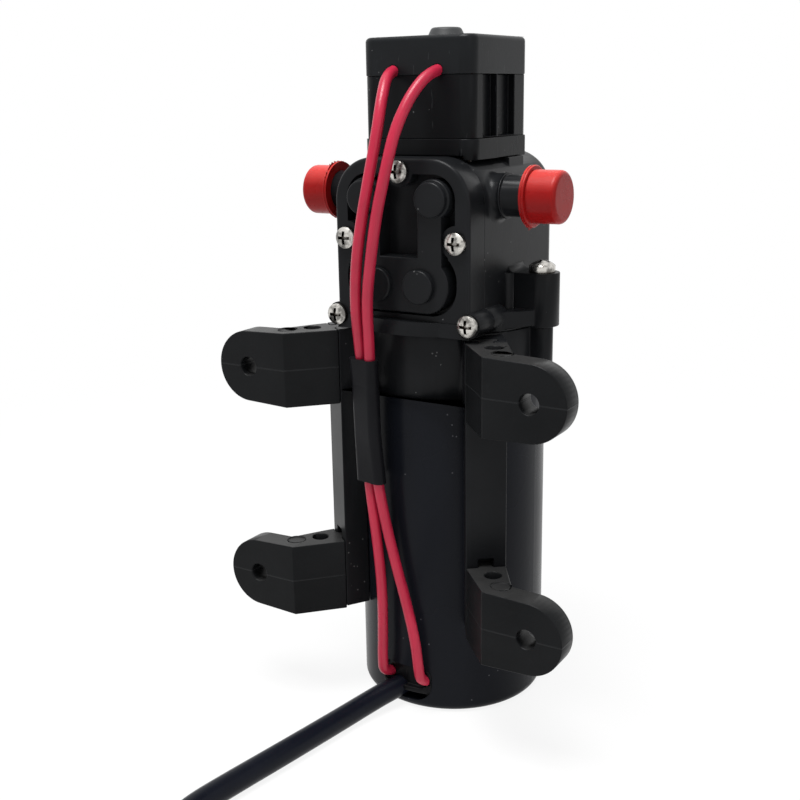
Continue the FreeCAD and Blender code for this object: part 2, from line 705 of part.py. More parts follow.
def rail_outline(inner_r):
    """Section of the right rail: a web leaning on the can and the slanted face for the feet."""
    front, back = [V(inner_r * cos(radians(angle)), inner_r * sin(radians(angle)), 0)
                   for angle in (RAIL_FRONT_ANGLE, RAIL_BACK_ANGLE)]
    middle = (front + back).normalize() * inner_r
    return [(front.x, front.y), RAIL_FRONT, RAIL_BACK, (back.x, back.y),
            (middle.x, middle.y, front.x, front.y)]


def tongue_outline(gap):
    """The foot's tongue in the rail's face, or the pocket for it with a gap all round."""
    neck = TONGUE_NECK_W / 2 + gap
    head = TONGUE_HEAD_W / 2 + gap
    depth_1 = TONGUE_NECK_L - gap
    depth_2 = TONGUE_NECK_L + TONGUE_HEAD_L + gap
    root = 1.0
    corners = [(-neck, root), (neck, root), (neck, -depth_1), (head, -depth_1), (head, -depth_2),
               (-head, -depth_2), (-head, -depth_1), (-neck, -depth_1)]
    points = [rail_mid + rail_along * u + rail_out * v for u, v in corners]
    return [(p.x, p.y) for p in points]


def make_bracket():
    collar = upright(COLLAR_R, 0, 0, collar_bottom, collar_top)
    collar = collar.cut(upright(COLLAR_R - COLLAR_WALL, 0, 0, collar_bottom + COLLAR_FLOOR_T, collar_top + 1))
    collar = collar.cut(upright(FRONT_BEARING_R + 1.0, 0, 0, collar_bottom - 1, collar_top))
    rail_low = plate(rail_outline(rail_inner_r), "XY", RAIL_BOTTOM, collar_bottom)
    rail_high = plate(rail_outline(COLLAR_R - COLLAR_WALL / 2), "XY", collar_bottom, rail_top)
    rail = joined(rail_low, rail_high)
    for z0, z1 in ((RAIL_BOTTOM - 1, FOOT_LOW_Z + FOOT_H + POCKET_SPARE), (foot_high_z, rail_top + 1)):
        cutter = plate(tongue_outline(SLIDE_GAP), "XY", z0, z1)
        rail = rail.cut(cutter)
    ear = upright(EAR_R, EAR_X, 0, ear_bottom, collar_top)
    ear_web = box(COLLAR_R - COLLAR_WALL, EAR_X, -EAR_R, EAR_R, ear_bottom, collar_top)
    ear_web = ear_web.cut(upright(COLLAR_R - COLLAR_WALL / 2, 0, 0, ear_bottom - 1, collar_top + 1))
    side = joined(rail, ear, ear_web)
    body = collar
    for piece in both_sides(side):
        body = body.fuse(piece)
    for x in (-1, 1):
        body = body.cut(upright(MOTOR_SCREW_R, x * MOTOR_SCREW_X, 0, collar_bottom - 1, collar_top))
        body = body.cut(upright(FLANGE_SCREW_R, x * EAR_X, 0, flange_screw_bottom, collar_top + 1))
    return body.removeSplitter()


def make_foot(z0):
    """The right foot at height z0: a block on the slanted face, a round-ended tab, and a tongue."""
    seat = rail_out * FOOT_SEAT_GAP
    front_root = V(*RAIL_FRONT, 0) + seat
    back_root = V(*RAIL_BACK, 0) + seat
    tip_x = FOOT_HOLE_X + FOOT_TIP_R
    outline = [(front_root.x, front_root.y), FOOT_FRONT_BEND, (tip_x, FOOT_FRONT_BEND[1]),
               (tip_x, FOOT_BACK_BEND[1]), FOOT_BACK_BEND, (back_root.x, back_root.y)]
    body = plate(outline, "XY", z0, z0 + FOOT_H)
    mid_z = z0 + FOOT_H / 2
    bend_x = FOOT_FRONT_BEND[0]
    profile = [(0, z0), (bend_x, z0), (FOOT_HOLE_X, mid_z - FOOT_TIP_R),
               (tip_x, mid_z, FOOT_HOLE_X, mid_z + FOOT_TIP_R), (bend_x, z0 + FOOT_H), (0, z0 + FOOT_H)]
    side_view = plate(profile, "XZ", -THROUGH, 0)
    body = body.common(side_view)
    body = body.cut(along_y(FOOT_HOLE_R, FOOT_HOLE_X, mid_z, -THROUGH, 0))
    body = body.cut(upright(FOOT_PIN_HOLE_R, *FOOT_PIN_HOLE, z0 - 1, z0 + FOOT_H + 1))
    mark_z = z0 + FOOT_H - FOOT_MARK_DEPTH
    body = body.cut(upright(FOOT_MARK_R, *FOOT_MARK, mark_z, mark_z + 1))
    tongue = plate(tongue_outline(0), "XY", z0, z0 + FOOT_H)
    return joined(body, tongue)


# Pump head

gasket_back = SEAM_Y + GASKET_T
plate_back = gasket_back + PLATE_T
diaphragm_back = plate_back + DIAPHRAGM_T
stroke = 2 * ECCENTRICITY
clamp_front = plate_back + stroke + STROKE_MARGIN
hub_front = clamp_front + CLAMP_T
hub_back = hub_front + DIAPHRAGM_T
flange_back = hub_back + ROD_FLANGE_T


def head_outline(inset, floor):
    return rounded(-HEAD_HALF_W + inset, HEAD_HALF_W - inset, floor, head_top - inset, 0,
                   HEAD_CORNER_R - inset)


def plate_outline(grow):
    return rounded(-PLATE_HALF_W - grow, PLATE_HALF_W + grow, valve_z - PLATE_HALF_H - grow,
                   valve_z + PLATE_HALF_H + grow, PLATE_CORNER_R + grow)


def gasket_blank(grow, y0, y1):
    """The valve plate's outline with an upper part round the two port openings."""
    lower = plate(plate_outline(grow), "XZ", y0, y1)
    upper = plate(rounded(-UPPER_BUMP_X - 3.2 - grow, UPPER_BUMP_X + 3.2 + grow, valve_z,
                          port_z + 3.6 + grow, 0, 3.2), "XZ", y0, y1)
    return joined(lower, upper)


def flow_channel(y0, y1):
    """The right flow channel behind the cover, from the valve pocket up to the port opening."""
    width = FLOW_CHANNEL_W / 2
    x_mid = (CHANNEL_IN_X + CHANNEL_OUT_X) / 2
    upper = along_y(BUMP_R - COVER_SKIN, UPPER_BUMP_X, port_z, y0, y1)
    lower = along_y(BUMP_R - COVER_SKIN / 2, LOWER_BUMP_X, valve_z, y0, y1)
    run = box(x_mid - width, x_mid + width, y0, y1, valve_z, port_z)
    return joined(run, upper, lower)


def raised(place_xz, side=1):
    """A screw's place with its height taken from the housing's floor."""
    return (side * place_xz[0], head_floor + place_xz[1])


screw_places = [raised(COVER_SCREW_TOP)] + [raised(spot, side) for spot in (COVER_SCREW_MID, COVER_SCREW_LOW)
                                            for side in (1, -1)]


def front_rounded(block):
    """A raised shape of the cover with its front edges rounded."""
    edges = [e for e in block.Edges if e.BoundBox.YMax < block.BoundBox.YMin + 0.01]
    return block.makeFillet(BUMP_EDGE_R, edges)


def make_pump_cover():
    blank = plate(head_outline(0, ledge_top - 1), "XZ", COVER_FRONT_Y, SEAM_Y)
    front_edges = [e for e in blank.Edges if e.BoundBox.YMax < COVER_FRONT_Y + 0.01
                   and e.BoundBox.ZMax > ledge_top]
    blank = blank.makeFillet(COVER_EDGE_R, front_edges)
    # The recess: wide above the middle screws, narrow between them, and a moat round the pad below.
    front = COVER_FRONT_Y - CUT_MARGIN
    half = HEAD_HALF_W - COVER_RIM_W
    middle_z = raised(COVER_SCREW_MID)[1]
    upper = plate(rounded(-half, half, middle_z, head_top - COVER_RIM_W, 0, RECESS_CORNER_R), "XZ",
                  front, COVER_FLOOR_Y)
    between = box(-RECESS_HALF_W, RECESS_HALF_W, front, COVER_FLOOR_Y, valve_z, middle_z)
    moat_half = PAD_HALF_W + PAD_MOAT_W
    moat = plate(rounded(-moat_half, moat_half, pad_z[0] - PAD_MOAT_BELOW, pad_z[1] + PAD_MOAT_W,
                         PAD_CORNER_R + PAD_MOAT_W / 2), "XZ", front, COVER_FLOOR_Y)
    recess = joined(upper, between, moat)
    recess = recess.cut(along_y(COVER_HEAD_R + 0.9, *raised(COVER_SCREW_TOP), front, SEAM_Y))
    for side in both_sides(along_y(COVER_HEAD_R + 1.4, *raised(COVER_SCREW_MID), front, SEAM_Y)):
        recess = recess.cut(side)
    body = blank.cut(recess)

    ledge = upright(COVER_LEDGE_R, 0, 0, head_floor, ledge_top).common(
        box(-HEAD_HALF_W, HEAD_HALF_W, -COVER_LEDGE_R, SEAM_Y, head_floor, ledge_top))
    ledge = ledge.fuse(box(-HEAD_HALF_W, HEAD_HALF_W, COVER_LEDGE_Y, SEAM_Y, head_floor, ledge_top))
    ear = along_y(SCREW_EAR_R, *raised(COVER_SCREW_LOW), COVER_FRONT_Y, SEAM_Y)
    ears = both_sides(ear)
    pad = plate(rounded(-PAD_HALF_W, PAD_HALF_W, *pad_z, PAD_CORNER_R), "XZ", PAD_Y, SEAM_Y - 1)
    pad = front_rounded(pad)
    channel = front_rounded(box(CHANNEL_IN_X, CHANNEL_OUT_X, PAD_Y, SEAM_Y - 1, pad_z[1] - 3, port_z))
    upper = front_rounded(along_y(BUMP_R + BUMP_FOOT_W, UPPER_BUMP_X, port_z, PAD_Y, SEAM_Y - 1))
    bumps = [front_rounded(along_y(BUMP_R, UPPER_BUMP_X, port_z, BUMP_Y, SEAM_Y - 1)),
             front_rounded(along_y(BUMP_R, LOWER_BUMP_X, valve_z, BUMP_Y, SEAM_Y - 1))]
    pieces = [ledge, pad] + ears
    for shape in [channel, upper] + bumps:
        pieces += both_sides(shape)
    body = body.fuse(pieces)
    for side in both_sides(flow_channel(PAD_Y + COVER_SKIN, SEAM_Y + 1)):
        body = body.cut(side)
    # The ears' screw seats stand free of the ledge's proud face.
    seat = along_y(COVER_HEAD_R + 0.5, *raised(COVER_SCREW_LOW), front, COVER_FRONT_Y)
    for side in both_sides(seat):
        body = body.cut(side)
    for x, z in screw_places:
        body = body.cut(along_y(COVER_SCREW_R, x, z, front, SEAM_Y + 1))
    return body.removeSplitter()


def port_stub():
    """The right port: a plain stub with a collar at its root."""
    pipe = along_x(PORT_R, PORT_Y, port_z, HEAD_HALF_W - 2, port_end_x)
    tip = [e for e in pipe.Edges if e.BoundBox.XMin > port_end_x - 0.01]
    pipe = pipe.makeChamfer(PORT_TIP_CHAMFER, tip)
    collar = along_x(PORT_COLLAR_R, PORT_Y, port_z, port_root_x, port_collar_x)
    return joined(pipe, collar)


def boss_fillets():
    """Hollow fillets where the right boss grows out of the housing's wall: above it and in front of it."""
    r = BOSS_FILLET_R
    near = r * (1 - cos(pi / 4))
    wall = HEAD_HALF_W
    over = [(wall - 1, boss_top - 1), (wall + r, boss_top - 1), (wall + r, boss_top),
            (wall + near, boss_top + near, wall, boss_top + r), (wall - 1, boss_top + r)]
    front = [(wall - 1, -BOSS_R + 1), (wall + r, -BOSS_R + 1), (wall + r, -BOSS_R),
             (wall + near, -BOSS_R - near, wall, -BOSS_R - r), (wall - 1, -BOSS_R - r)]
    return [plate(over, "XZ", -BOSS_R, BOSS_R), plate(front, "XY", head_floor, boss_top)]


def port_root_edges(body):
    """The edges where the ports' roots meet the housing's walls."""
    edges = []
    for edge in body.Edges:
        box_of = edge.BoundBox
        near = abs(box_of.YMin - PORT_Y) < PORT_ROOT_R + 0.1 and abs(box_of.YMax - PORT_Y) < PORT_ROOT_R + 0.1
        inner = max(abs(box_of.XMin), abs(box_of.XMax)) < port_root_x - 0.1
        if near and inner and box_of.ZMin > port_z - PORT_ROOT_R - 0.1 and box_of.XMin * box_of.XMax > 0:
            edges.append(edge)
    return edges


def make_pump_housing():
    body = plate(head_outline(0, head_floor), "XZ", SEAM_Y, HEAD_BACK_Y)
    back_edges = [e for e in body.Edges if e.BoundBox.YMin > HEAD_BACK_Y - 0.01
                  and e.BoundBox.ZMax > head_floor + 1]
    body = body.makeFillet(HEAD_BACK_R, back_edges)
    root = along_x(PORT_ROOT_R, PORT_Y, port_z, HEAD_HALF_W - HEAD_CORNER_R, port_root_x)
    body = joined(body, *both_sides(root))
    body = body.makeFillet(PORT_FILLET_R, port_root_edges(body))
    flange = upright(COLLAR_R, 0, 0, head_floor, ledge_top).cut(
        box(-THROUGH, THROUGH, -THROUGH, SEAM_Y, head_floor - 1, ledge_top + 1))
    pedestal = plate(rounded(-PEDESTAL_HALF_W, PEDESTAL_HALF_W, SWITCH_Y - PEDESTAL_HALF,
                             SWITCH_Y + PEDESTAL_HALF, 1.5), "XY", head_top - PEDESTAL_ROOT, base_z[0])
    block = box(0, SHOULDER_BLOCK_X, *SHOULDER_BLOCK_Y, head_top - PEDESTAL_ROOT,
                base_z[0] - BASE_SKIRT_H - HEAD_GAP)
    boss = upright(BOSS_R, EAR_X, 0, head_floor, boss_top)
    web = box(HEAD_HALF_W - 1, EAR_X, -BOSS_R, BOSS_R, head_floor, boss_top)
    ear = along_y(SCREW_EAR_R, *raised(COVER_SCREW_LOW), SEAM_Y, SCREW_EAR_BACK_Y)
    ear_foot = COVER_SCREW_LOW[0]
    half = SIDE_BAR_W / 2
    bar = [(ear_foot - half, SCREW_EAR_BACK_Y - 3), (ear_foot + half, SCREW_EAR_BACK_Y - 3),
           (EAR_X + half, -1.0), (EAR_X - half, 1.0)]
    bar = plate(bar, "XY", *side_bar_z)
    side = joined(boss, web, ear, bar, port_stub(), block, *boss_fillets())
    body = body.fuse([flange, pedestal] + both_sides(side))

    body = body.cut(upright(CHAMBER_R, 0, 0, head_floor - 1, chamber_top))
    body = body.cut(along_y(DIAPHRAGM_R - DIAPHRAGM_RIM_W, 0, valve_z, SEAM_Y, 0))
    body = body.cut(along_y(DIAPHRAGM_R + SEAT_GAP, 0, valve_z, SEAM_Y, diaphragm_back))
    body = body.cut(plate(plate_outline(SEAT_GAP), "XZ", SEAM_Y - 1, plate_back))
    body = body.cut(gasket_blank(SEAT_GAP, SEAM_Y - 1, gasket_back))
    passage = joined(along_x(PORT_BORE_R, PORT_Y, port_z, UPPER_BUMP_X - 1.5, port_end_x + 1),
                     along_y(BUMP_R - COVER_SKIN, UPPER_BUMP_X, port_z, SEAM_Y - 1, PORT_Y + 1))
    for piece in both_sides(passage):
        body = body.cut(piece)
    body = body.cut(rod(1.1, V(UPPER_BUMP_X - 1, PORT_Y + 0.5, port_z), V(0, SWITCH_Y, base_z[0] + 0.5)))
    for x, z in screw_places:
        body = body.cut(along_y(COVER_SCREW_R, x, z, SEAM_Y - 1, COVER_SCREW_BACK_Y))
    for x in (-1, 1):
        body = body.cut(upright(FLANGE_SCREW_R, x * EAR_X, 0, head_floor - 1, boss_top + 1))
        for y in (-1, 1):
            body = body.cut(upright(SWITCH_SCREW_R, x * SWITCH_SCREW_OFFSET,
                                    SWITCH_Y + y * SWITCH_SCREW_OFFSET, switch_screw_bottom, base_z[0] + 1))
    return body.removeSplitter()


def make_cover_gasket():
    body = gasket_blank(0, SEAM_Y, gasket_back)
    for side in both_sides(flow_channel(SEAM_Y - 1, gasket_back + 1)):
        body = body.cut(side)
    for x, z in screw_places:
        body = body.cut(along_y(COVER_SCREW_R + SEAT_GAP, x, z, SEAM_Y - 1, gasket_back + 1))
    return body


def make_valve_plate():
    body = plate(plate_outline(0), "XZ", gasket_back, plate_back)
    inlet_floor = plate_back - VALVE_POCKET_DEPTH
    outlet_floor = gasket_back + VALVE_POCKET_DEPTH
    body = body.cut(along_y(VALVE_POCKET_R, -LOWER_BUMP_X, valve_z, inlet_floor, plate_back + 1))
    body = body.cut(along_y(VALVE_POCKET_R, LOWER_BUMP_X, valve_z, gasket_back - 1, outlet_floor))
    for x in (-LOWER_BUMP_X, LOWER_BUMP_X):
        body = body.cut(along_y(VALVE_STEM_R + SLIDE_GAP, x, valve_z, gasket_back - 1, plate_back + 1))
        for i in range(VALVE_HOLES):
            angle = 2 * pi * i / VALVE_HOLES
            body = body.cut(along_y(VALVE_HOLE_R, x + VALVE_HOLE_PCD_R * cos(angle),
                                    valve_z + VALVE_HOLE_PCD_R * sin(angle), gasket_back - 1, plate_back + 1))
    return body


def make_valve(x, seat_y, lift_way):
    """A mushroom valve: disc on its seat, stem through the web, bulb that stops it coming out."""
    web = PLATE_T - VALVE_POCKET_DEPTH
    disc = along_y(VALVE_R, x, valve_z, seat_y, seat_y + lift_way * VALVE_T)
    stem_end = seat_y - lift_way * (web + VALVE_LIFT + 0.1)
    stem = along_y(VALVE_STEM_R, x, valve_z, seat_y + lift_way * 0.1, stem_end)
    bulb = along_y(VALVE_BULB_R, x, valve_z, stem_end, stem_end - lift_way * VALVE_BULB_L)
    return joined(disc, stem, bulb)


def make_diaphragm():
    """A round diaphragm with a clamped rim, a coned web and a flat hub with a screw hole."""
    rim_in = DIAPHRAGM_R - DIAPHRAGM_RIM_W
    section = [
        V(CLAMP_SCREW_R, hub_front, valve_z), V(HUB_R, hub_front, valve_z),
        V(rim_in, plate_back, valve_z), V(DIAPHRAGM_R, plate_back, valve_z),
        V(DIAPHRAGM_R, diaphragm_back, valve_z), V(rim_in, diaphragm_back, valve_z),
        V(HUB_R, hub_back, valve_z), V(CLAMP_SCREW_R, hub_back, valve_z),
    ]
    return turned(lines(section), V(0, 0, valve_z), Y_AXIS)


def make_clamp():
    body = along_y(CLAMP_R, 0, valve_z, clamp_front, hub_front)
    cone = Part.makeCone(CLAMP_SCREW_HEAD_R, CLAMP_SCREW_R, CLAMP_T, V(0, clamp_front, valve_z), Y_AXIS)
    return body.cut(cone)


def make_clamp_screw():
    cone = Part.makeCone(CLAMP_SCREW_HEAD_R, CLAMP_SCREW_R, CLAMP_T, V(0, clamp_front, valve_z), Y_AXIS)
    body = joined(cone, along_y(CLAMP_SCREW_R, 0, valve_z, hub_front, hub_front + CLAMP_SCREW_L))
    slot = box(-CLAMP_SCREW_HEAD_R, CLAMP_SCREW_HEAD_R, clamp_front - 1, clamp_front + 0.5,
               valve_z - 0.3, valve_z + 0.3)
    return body.cut(slot)


# Cam drive. At rest the cam points to +Y, so the diaphragm is drawn fully back.



def make_connecting_rod():
    ring = upright(rod_ring_r, 0, ECCENTRICITY, valve_z - ROD_RING_W / 2, valve_z + ROD_RING_W / 2)
    flange = along_y(ROD_FLANGE_R, 0, valve_z, hub_back, flange_back)
    neck = box(-3.2, 3.2, flange_back - 0.5, -rod_ring_r + ECCENTRICITY + 2, valve_z - ROD_RING_W / 2,
               valve_z + ROD_RING_W / 2)
    body = joined(ring, flange, neck)
    body = body.cut(upright(CAM_BEARING_R, 0, ECCENTRICITY, valve_z - ROD_RING_W, valve_z + ROD_RING_W))
    return body.cut(along_y(CLAMP_SCREW_R, 0, valve_z, hub_back - 1, hub_front + CLAMP_SCREW_L))


def make_cam_bearing():
    z0 = valve_z - CAM_BEARING_W / 2
    z1 = valve_z + CAM_BEARING_W / 2
    return upright(CAM_BEARING_R, 0, ECCENTRICITY, z0, z1).cut(
        upright(CAM_R + RUNNING_GAP, 0, ECCENTRICITY, z0 - 1, z1 + 1))


def make_cam():
    """The eccentric with its balance weight on the side away from the eccentric."""
    body = upright(CAM_R, 0, ECCENTRICITY, *cam_z)
    weight_z = (cam_z[0] - WEIGHT_DROP - WEIGHT_T, cam_z[0] - WEIGHT_DROP)
    hub = upright(CAM_R, 0, 0, weight_z[0], cam_z[0])
    reach = 2 * WEIGHT_R
    weight = upright(WEIGHT_R, 0, 0, *weight_z)
    weight = weight.cut(box(-reach, reach, 0, reach, weight_z[0] - 1, weight_z[1] + 1))
    body = joined(body, hub, weight)
    return body.cut(upright(SHAFT_R, 0, 0, weight_z[0] - 1, cam_z[1] + 1))


# Pressure switch

diaphragm_z = base_z[1]
piston_z = diaphragm_z + SWITCH_DIAPHRAGM_T
finger_x = SWITCH_BORE_R - FINGER[0] / 2
finger_top = bridge_bottom + 0.9
cap_floor = switch_body_top


def switch_block(inset, z0, z1):
    half = SWITCH_HALF - inset
    outline = rounded(-half, half, SWITCH_Y - half, SWITCH_Y + half, SWITCH_CORNER_R - inset)
    return plate(outline, "XY", z0, z1)


def screw_corners():
    for x in (-1, 1):
        for y in (-1, 1):
            yield x * SWITCH_SCREW_OFFSET, SWITCH_Y + y * SWITCH_SCREW_OFFSET


def make_switch_base():
    body = switch_block(-BASE_SPARE, base_z[0] - BASE_SKIRT_H, base_z[1])
    body = body.cut(box(-BASE_SKIRT_X, BASE_SKIRT_X, -THROUGH, THROUGH, base_z[0] - 2, base_z[0]))
    edge = SWITCH_HALF + BASE_SPARE
    step = box(edge - BASE_STEP_DEPTH, edge + 1, BASE_STEP_Y, THROUGH, base_z[0] - 2, base_z[1] + 1)
    for side in both_sides(step):
        body = body.cut(side)
    body = body.cut(upright(2.0, 0, SWITCH_Y, base_z[0] - 1, base_z[1] + 1))
    for x, y in screw_corners():
        body = body.cut(upright(SWITCH_SCREW_R, x, y, base_z[0] - 1, base_z[1] + 1))
    return body


def make_switch_body():
    body = switch_block(SWITCH_BODY_INSET, base_z[1], switch_body_top)
    edge = SWITCH_HALF - SWITCH_BODY_INSET
    for pocket_y in SIDE_POCKETS_Y:
        for side in both_sides(box(edge - SIDE_POCKET_DEPTH, edge + 1, *pocket_y, side_pocket_bottom,
                                   switch_body_top + 1)):
            body = body.cut(side)
    body = body.cut(upright(SWITCH_DIAPHRAGM_R + SEAT_GAP, 0, SWITCH_Y, base_z[1] - 1, piston_z))
    body = body.cut(upright(SWITCH_BORE_R, 0, SWITCH_Y, piston_z - 0.5, bridge_bottom))
    slot = box(finger_x - FINGER[0] / 2 - 0.2, finger_x + FINGER[0] / 2 + 0.2, SWITCH_Y - FINGER[1] / 2 - 0.2,
               SWITCH_Y + FINGER[1] / 2 + 0.2, bridge_bottom - 1, switch_body_top + 1)
    body = body.cut(slot)
    body = body.cut(upright(ADJUSTER_R + RUNNING_GAP, 0, SWITCH_Y, bridge_bottom - 1, switch_body_top + 1))
    for x, y in screw_corners():
        body = body.cut(upright(SWITCH_SCREW_R, x, y, base_z[1] - 1, switch_body_top + 1))
    return body


def make_switch_diaphragm():
    return upright(SWITCH_DIAPHRAGM_R, 0, SWITCH_Y, diaphragm_z, piston_z - 0.02)


def make_switch_piston():
    disc = upright(SWITCH_BORE_R - SLIDE_GAP, 0, SWITCH_Y, piston_z, piston_z + PISTON_T)
    stem = upright(PISTON_STEM_R, 0, SWITCH_Y, piston_z, piston_z + PISTON_STEM_L)
    finger = box(finger_x - FINGER[0] / 2, finger_x + FINGER[0] / 2, SWITCH_Y - FINGER[1] / 2,
                 SWITCH_Y + FINGER[1] / 2, piston_z, finger_top)
    finger = finger.common(upright(SWITCH_BORE_R - SLIDE_GAP, 0, SWITCH_Y, piston_z, finger_top))
    return joined(disc, stem, finger)


adjuster_collar_z = bridge_bottom - 1.6


def make_switch_spring():
    return coil(SWITCH_SPRING_R, SWITCH_SPRING_WIRE_R, SWITCH_SPRING_TURNS, piston_z + PISTON_T,
                adjuster_collar_z, 0, SWITCH_Y)


def make_adjusting_screw():
    collar = upright(ADJUSTER_COLLAR_R, 0, SWITCH_Y, adjuster_collar_z, bridge_bottom - 0.1)
    stem = upright(ADJUSTER_R, 0, SWITCH_Y, adjuster_collar_z, adjuster_top)
    corners = [(ADJUSTER_SOCKET_R * cos(radians(60 * i)), SWITCH_Y + ADJUSTER_SOCKET_R * sin(radians(60 * i)))
               for i in range(6)]
    socket = plate(corners, "XY", adjuster_top - 2, adjuster_top + 1)
    return joined(collar, stem).cut(socket)


def make_microswitch():
    x0 = MICROSWITCH_X - MICROSWITCH[0] / 2
    y0 = SWITCH_Y - MICROSWITCH[1] / 2
    z0 = cap_floor + 0.1
    body = box(x0, x0 + MICROSWITCH[0], y0, y0 + MICROSWITCH[1], z0, z0 + MICROSWITCH[2])
    body = body.cut(upright(BUTTON_R + SLIDE_GAP, finger_x, SWITCH_Y, z0 - 1, z0 + 3))
    pins = [box(MICROSWITCH_X - 1.2, MICROSWITCH_X + 1.2, y - 0.3, y + 0.3, z0 + MICROSWITCH[2] - 0.1,
                z0 + MICROSWITCH[2] + 0.9) for y in (SWITCH_Y - 3.5, SWITCH_Y + 3.5)]
    return joined(body, *pins)


def make_microswitch_button():
    return upright(BUTTON_R, finger_x, SWITCH_Y, finger_top + 0.05, cap_floor + 0.1 + 3 - PISTON_TRAVEL - 0.2)


def make_switch_cap():
    body = switch_block(0, cap_floor, cap_top)
    top_edges = [e for e in body.Edges if e.BoundBox.ZMin > cap_top - 0.01]
    body = body.makeFillet(SWITCH_CAP_EDGE_R, top_edges)
    half = SWITCH_HALF - SWITCH_WALL
    hollow = plate(rounded(-half, half, SWITCH_Y - half, SWITCH_Y + half, 1.2), "XY", cap_floor - 1,
                   cap_top - SWITCH_WALL + 0.3)
    for x, y in screw_corners():
        hollow = hollow.cut(upright(SWITCH_SCREW_HEAD_R + 1.2, x, y, cap_floor - 2, cap_top))
    body = body.cut(hollow)
    body = body.cut(upright(DOME_STEM_R + SLIDE_GAP, 0, SWITCH_Y, cap_floor, cap_top + 1))
    for x, y in screw_corners():
        body = body.cut(upright(SWITCH_SCREW_R, x, y, cap_floor - 1, cap_top))
        body = body.cut(upright(SWITCH_SCREW_HEAD_R + SEAT_GAP, x, y,
                                cap_top - SWITCH_SCREW_HEAD_H - SWITCH_SCREW_SINK, cap_top + 1))
    return body.removeSplitter()


def make_dome_plug():
    height = dome_top - cap_top
    head = Part.makeCone(DOME_R, DOME_R - DOME_TAPER, height, V(0, SWITCH_Y, cap_top), Z_AXIS)
    edges = [e for e in head.Edges if e.BoundBox.ZMin > dome_top - 0.01]
    head = head.makeFillet(DOME_EDGE_R, edges)
    stem = upright(DOME_STEM_R, 0, SWITCH_Y, cap_top - SWITCH_WALL, cap_top + 0.5)
    return joined(head, stem)


# Port caps

def make_port_cap():
    body = along_x(cap_r, PORT_Y, port_z, cap_mouth_x, cap_end_x)
    end_edges = [e for e in body.Edges if e.BoundBox.XMin > cap_end_x - 0.01]
    body = body.makeFillet(CAP_END_R, end_edges)
    lip = along_x(CAP_LIP_R, PORT_Y, port_z, cap_mouth_x, cap_mouth_x + CAP_LIP_W)
    body = joined(body, lip.makeFillet(CAP_LIP_EDGE_R, lip.Edges[:1]))
    bore = along_x(PORT_R + SLIDE_GAP, PORT_Y, port_z, cap_mouth_x - 1, cap_end_x - CAP_END_T)
    return body.cut(bore)


# Screws

def make_cover_screws():
    way = V(0, -1, 0)
    return [pan_screw(COVER_HEAD_R, COVER_HEAD_H, COVER_SCREW_R, V(x, COVER_FRONT_Y, z), way,
                      V(x, COVER_SCREW_BACK_Y, z)) for x, z in screw_places]


def make_flange_screws():
    screw = pan_screw(FLANGE_HEAD_R, FLANGE_HEAD_H, FLANGE_SCREW_R, V(EAR_X, 0, boss_top), Z_AXIS,
                      V(EAR_X, 0, flange_screw_bottom))
    return both_sides(screw)


def make_motor_screws():
    top = collar_bottom + COLLAR_FLOOR_T
    screw = pan_screw(MOTOR_SCREW_HEAD_R, MOTOR_SCREW_HEAD_H, MOTOR_SCREW_R, V(MOTOR_SCREW_X, 0, top), Z_AXIS,
                      V(MOTOR_SCREW_X, 0, front_plate_bottom))
    return both_sides(screw)


def make_switch_screws():
    base = cap_top - SWITCH_SCREW_HEAD_H - SWITCH_SCREW_SINK
    return [pan_screw(SWITCH_SCREW_HEAD_R, SWITCH_SCREW_HEAD_H, SWITCH_SCREW_R, V(x, y, base), Z_AXIS,
                      V(x, y, switch_screw_bottom)) for x, y in screw_corners()]


# Cable, leads and what they pass through

def make_grommet():
    """A rubber insert in the can's slot: a recessed face for the cords, and a bead below and on the right."""
    top = CAN_SLOT_Z[1]
    insert = can_slot().common(box(-THROUGH, THROUGH, -THROUGH, 0, GROMMET_BOTTOM, top))
    insert = insert.common(upright(CAN_R + GROMMET_PROUD, 0, 0, 0, top + 1))
    insert = insert.cut(upright(CAN_R - GROMMET_SINK - GROMMET_T, 0, 0, 0, top + 1))
    outline = rounded(-THROUGH, CAN_SLOT_X[1] - GROMMET_RIM_W, GROMMET_BOTTOM + GROMMET_RIM_W, THROUGH,
                      2.0, 0)
    face = plate(outline, "XZ", -THROUGH, 0)
    return insert.cut(face.cut(upright(CAN_R - GROMMET_SINK, 0, 0, 0, THROUGH)))


def cable_sheath():
    return tube(CABLE_ROUTE, CABLE_R, "cable")


def make_conductors():
    """Two stripped conductors that stand out of the sheath's far end."""
    end = V(*CABLE_ROUTE[-1])
    way = (end - V(*CABLE_ROUTE[-2])).normalize()
    side = V(way.y, -way.x, 0)
    pieces = []
    for sign in (-1, 1):
        start = end + side * (sign * (CONDUCTOR_R + 0.15))
        middle = start + way * CONDUCTOR_L
        core = joined(rod(CONDUCTOR_R, start, middle), rod(STRAND_R, middle - way, middle + way * STRIP_L))
        pieces.append(core)
    return pieces


def sleeve_section(centre_a, centre_b, r, z_normal):
    """A flat round-ended loop about two leads."""
    along = (centre_b - centre_a).normalize()
    across = z_normal.cross(along)
    a0 = centre_a - across * r
    b0 = centre_b - across * r
    b1 = centre_b + across * r
    a1 = centre_a + across * r
    return Part.Wire([
        Part.LineSegment(a0, b0).toShape(), Part.Arc(b0, centre_b + along * r, b1).toShape(),
        Part.LineSegment(b1, a1).toShape(), Part.Arc(a1, centre_a - along * r, a0).toShape()])


def lead_route(route):
    """A lead's route with its heights stretched to where the switch's lead holes are."""
    stretch = lead_top_z / route[0][2]
    return [(x, y, z * stretch) for x, y, z in route]


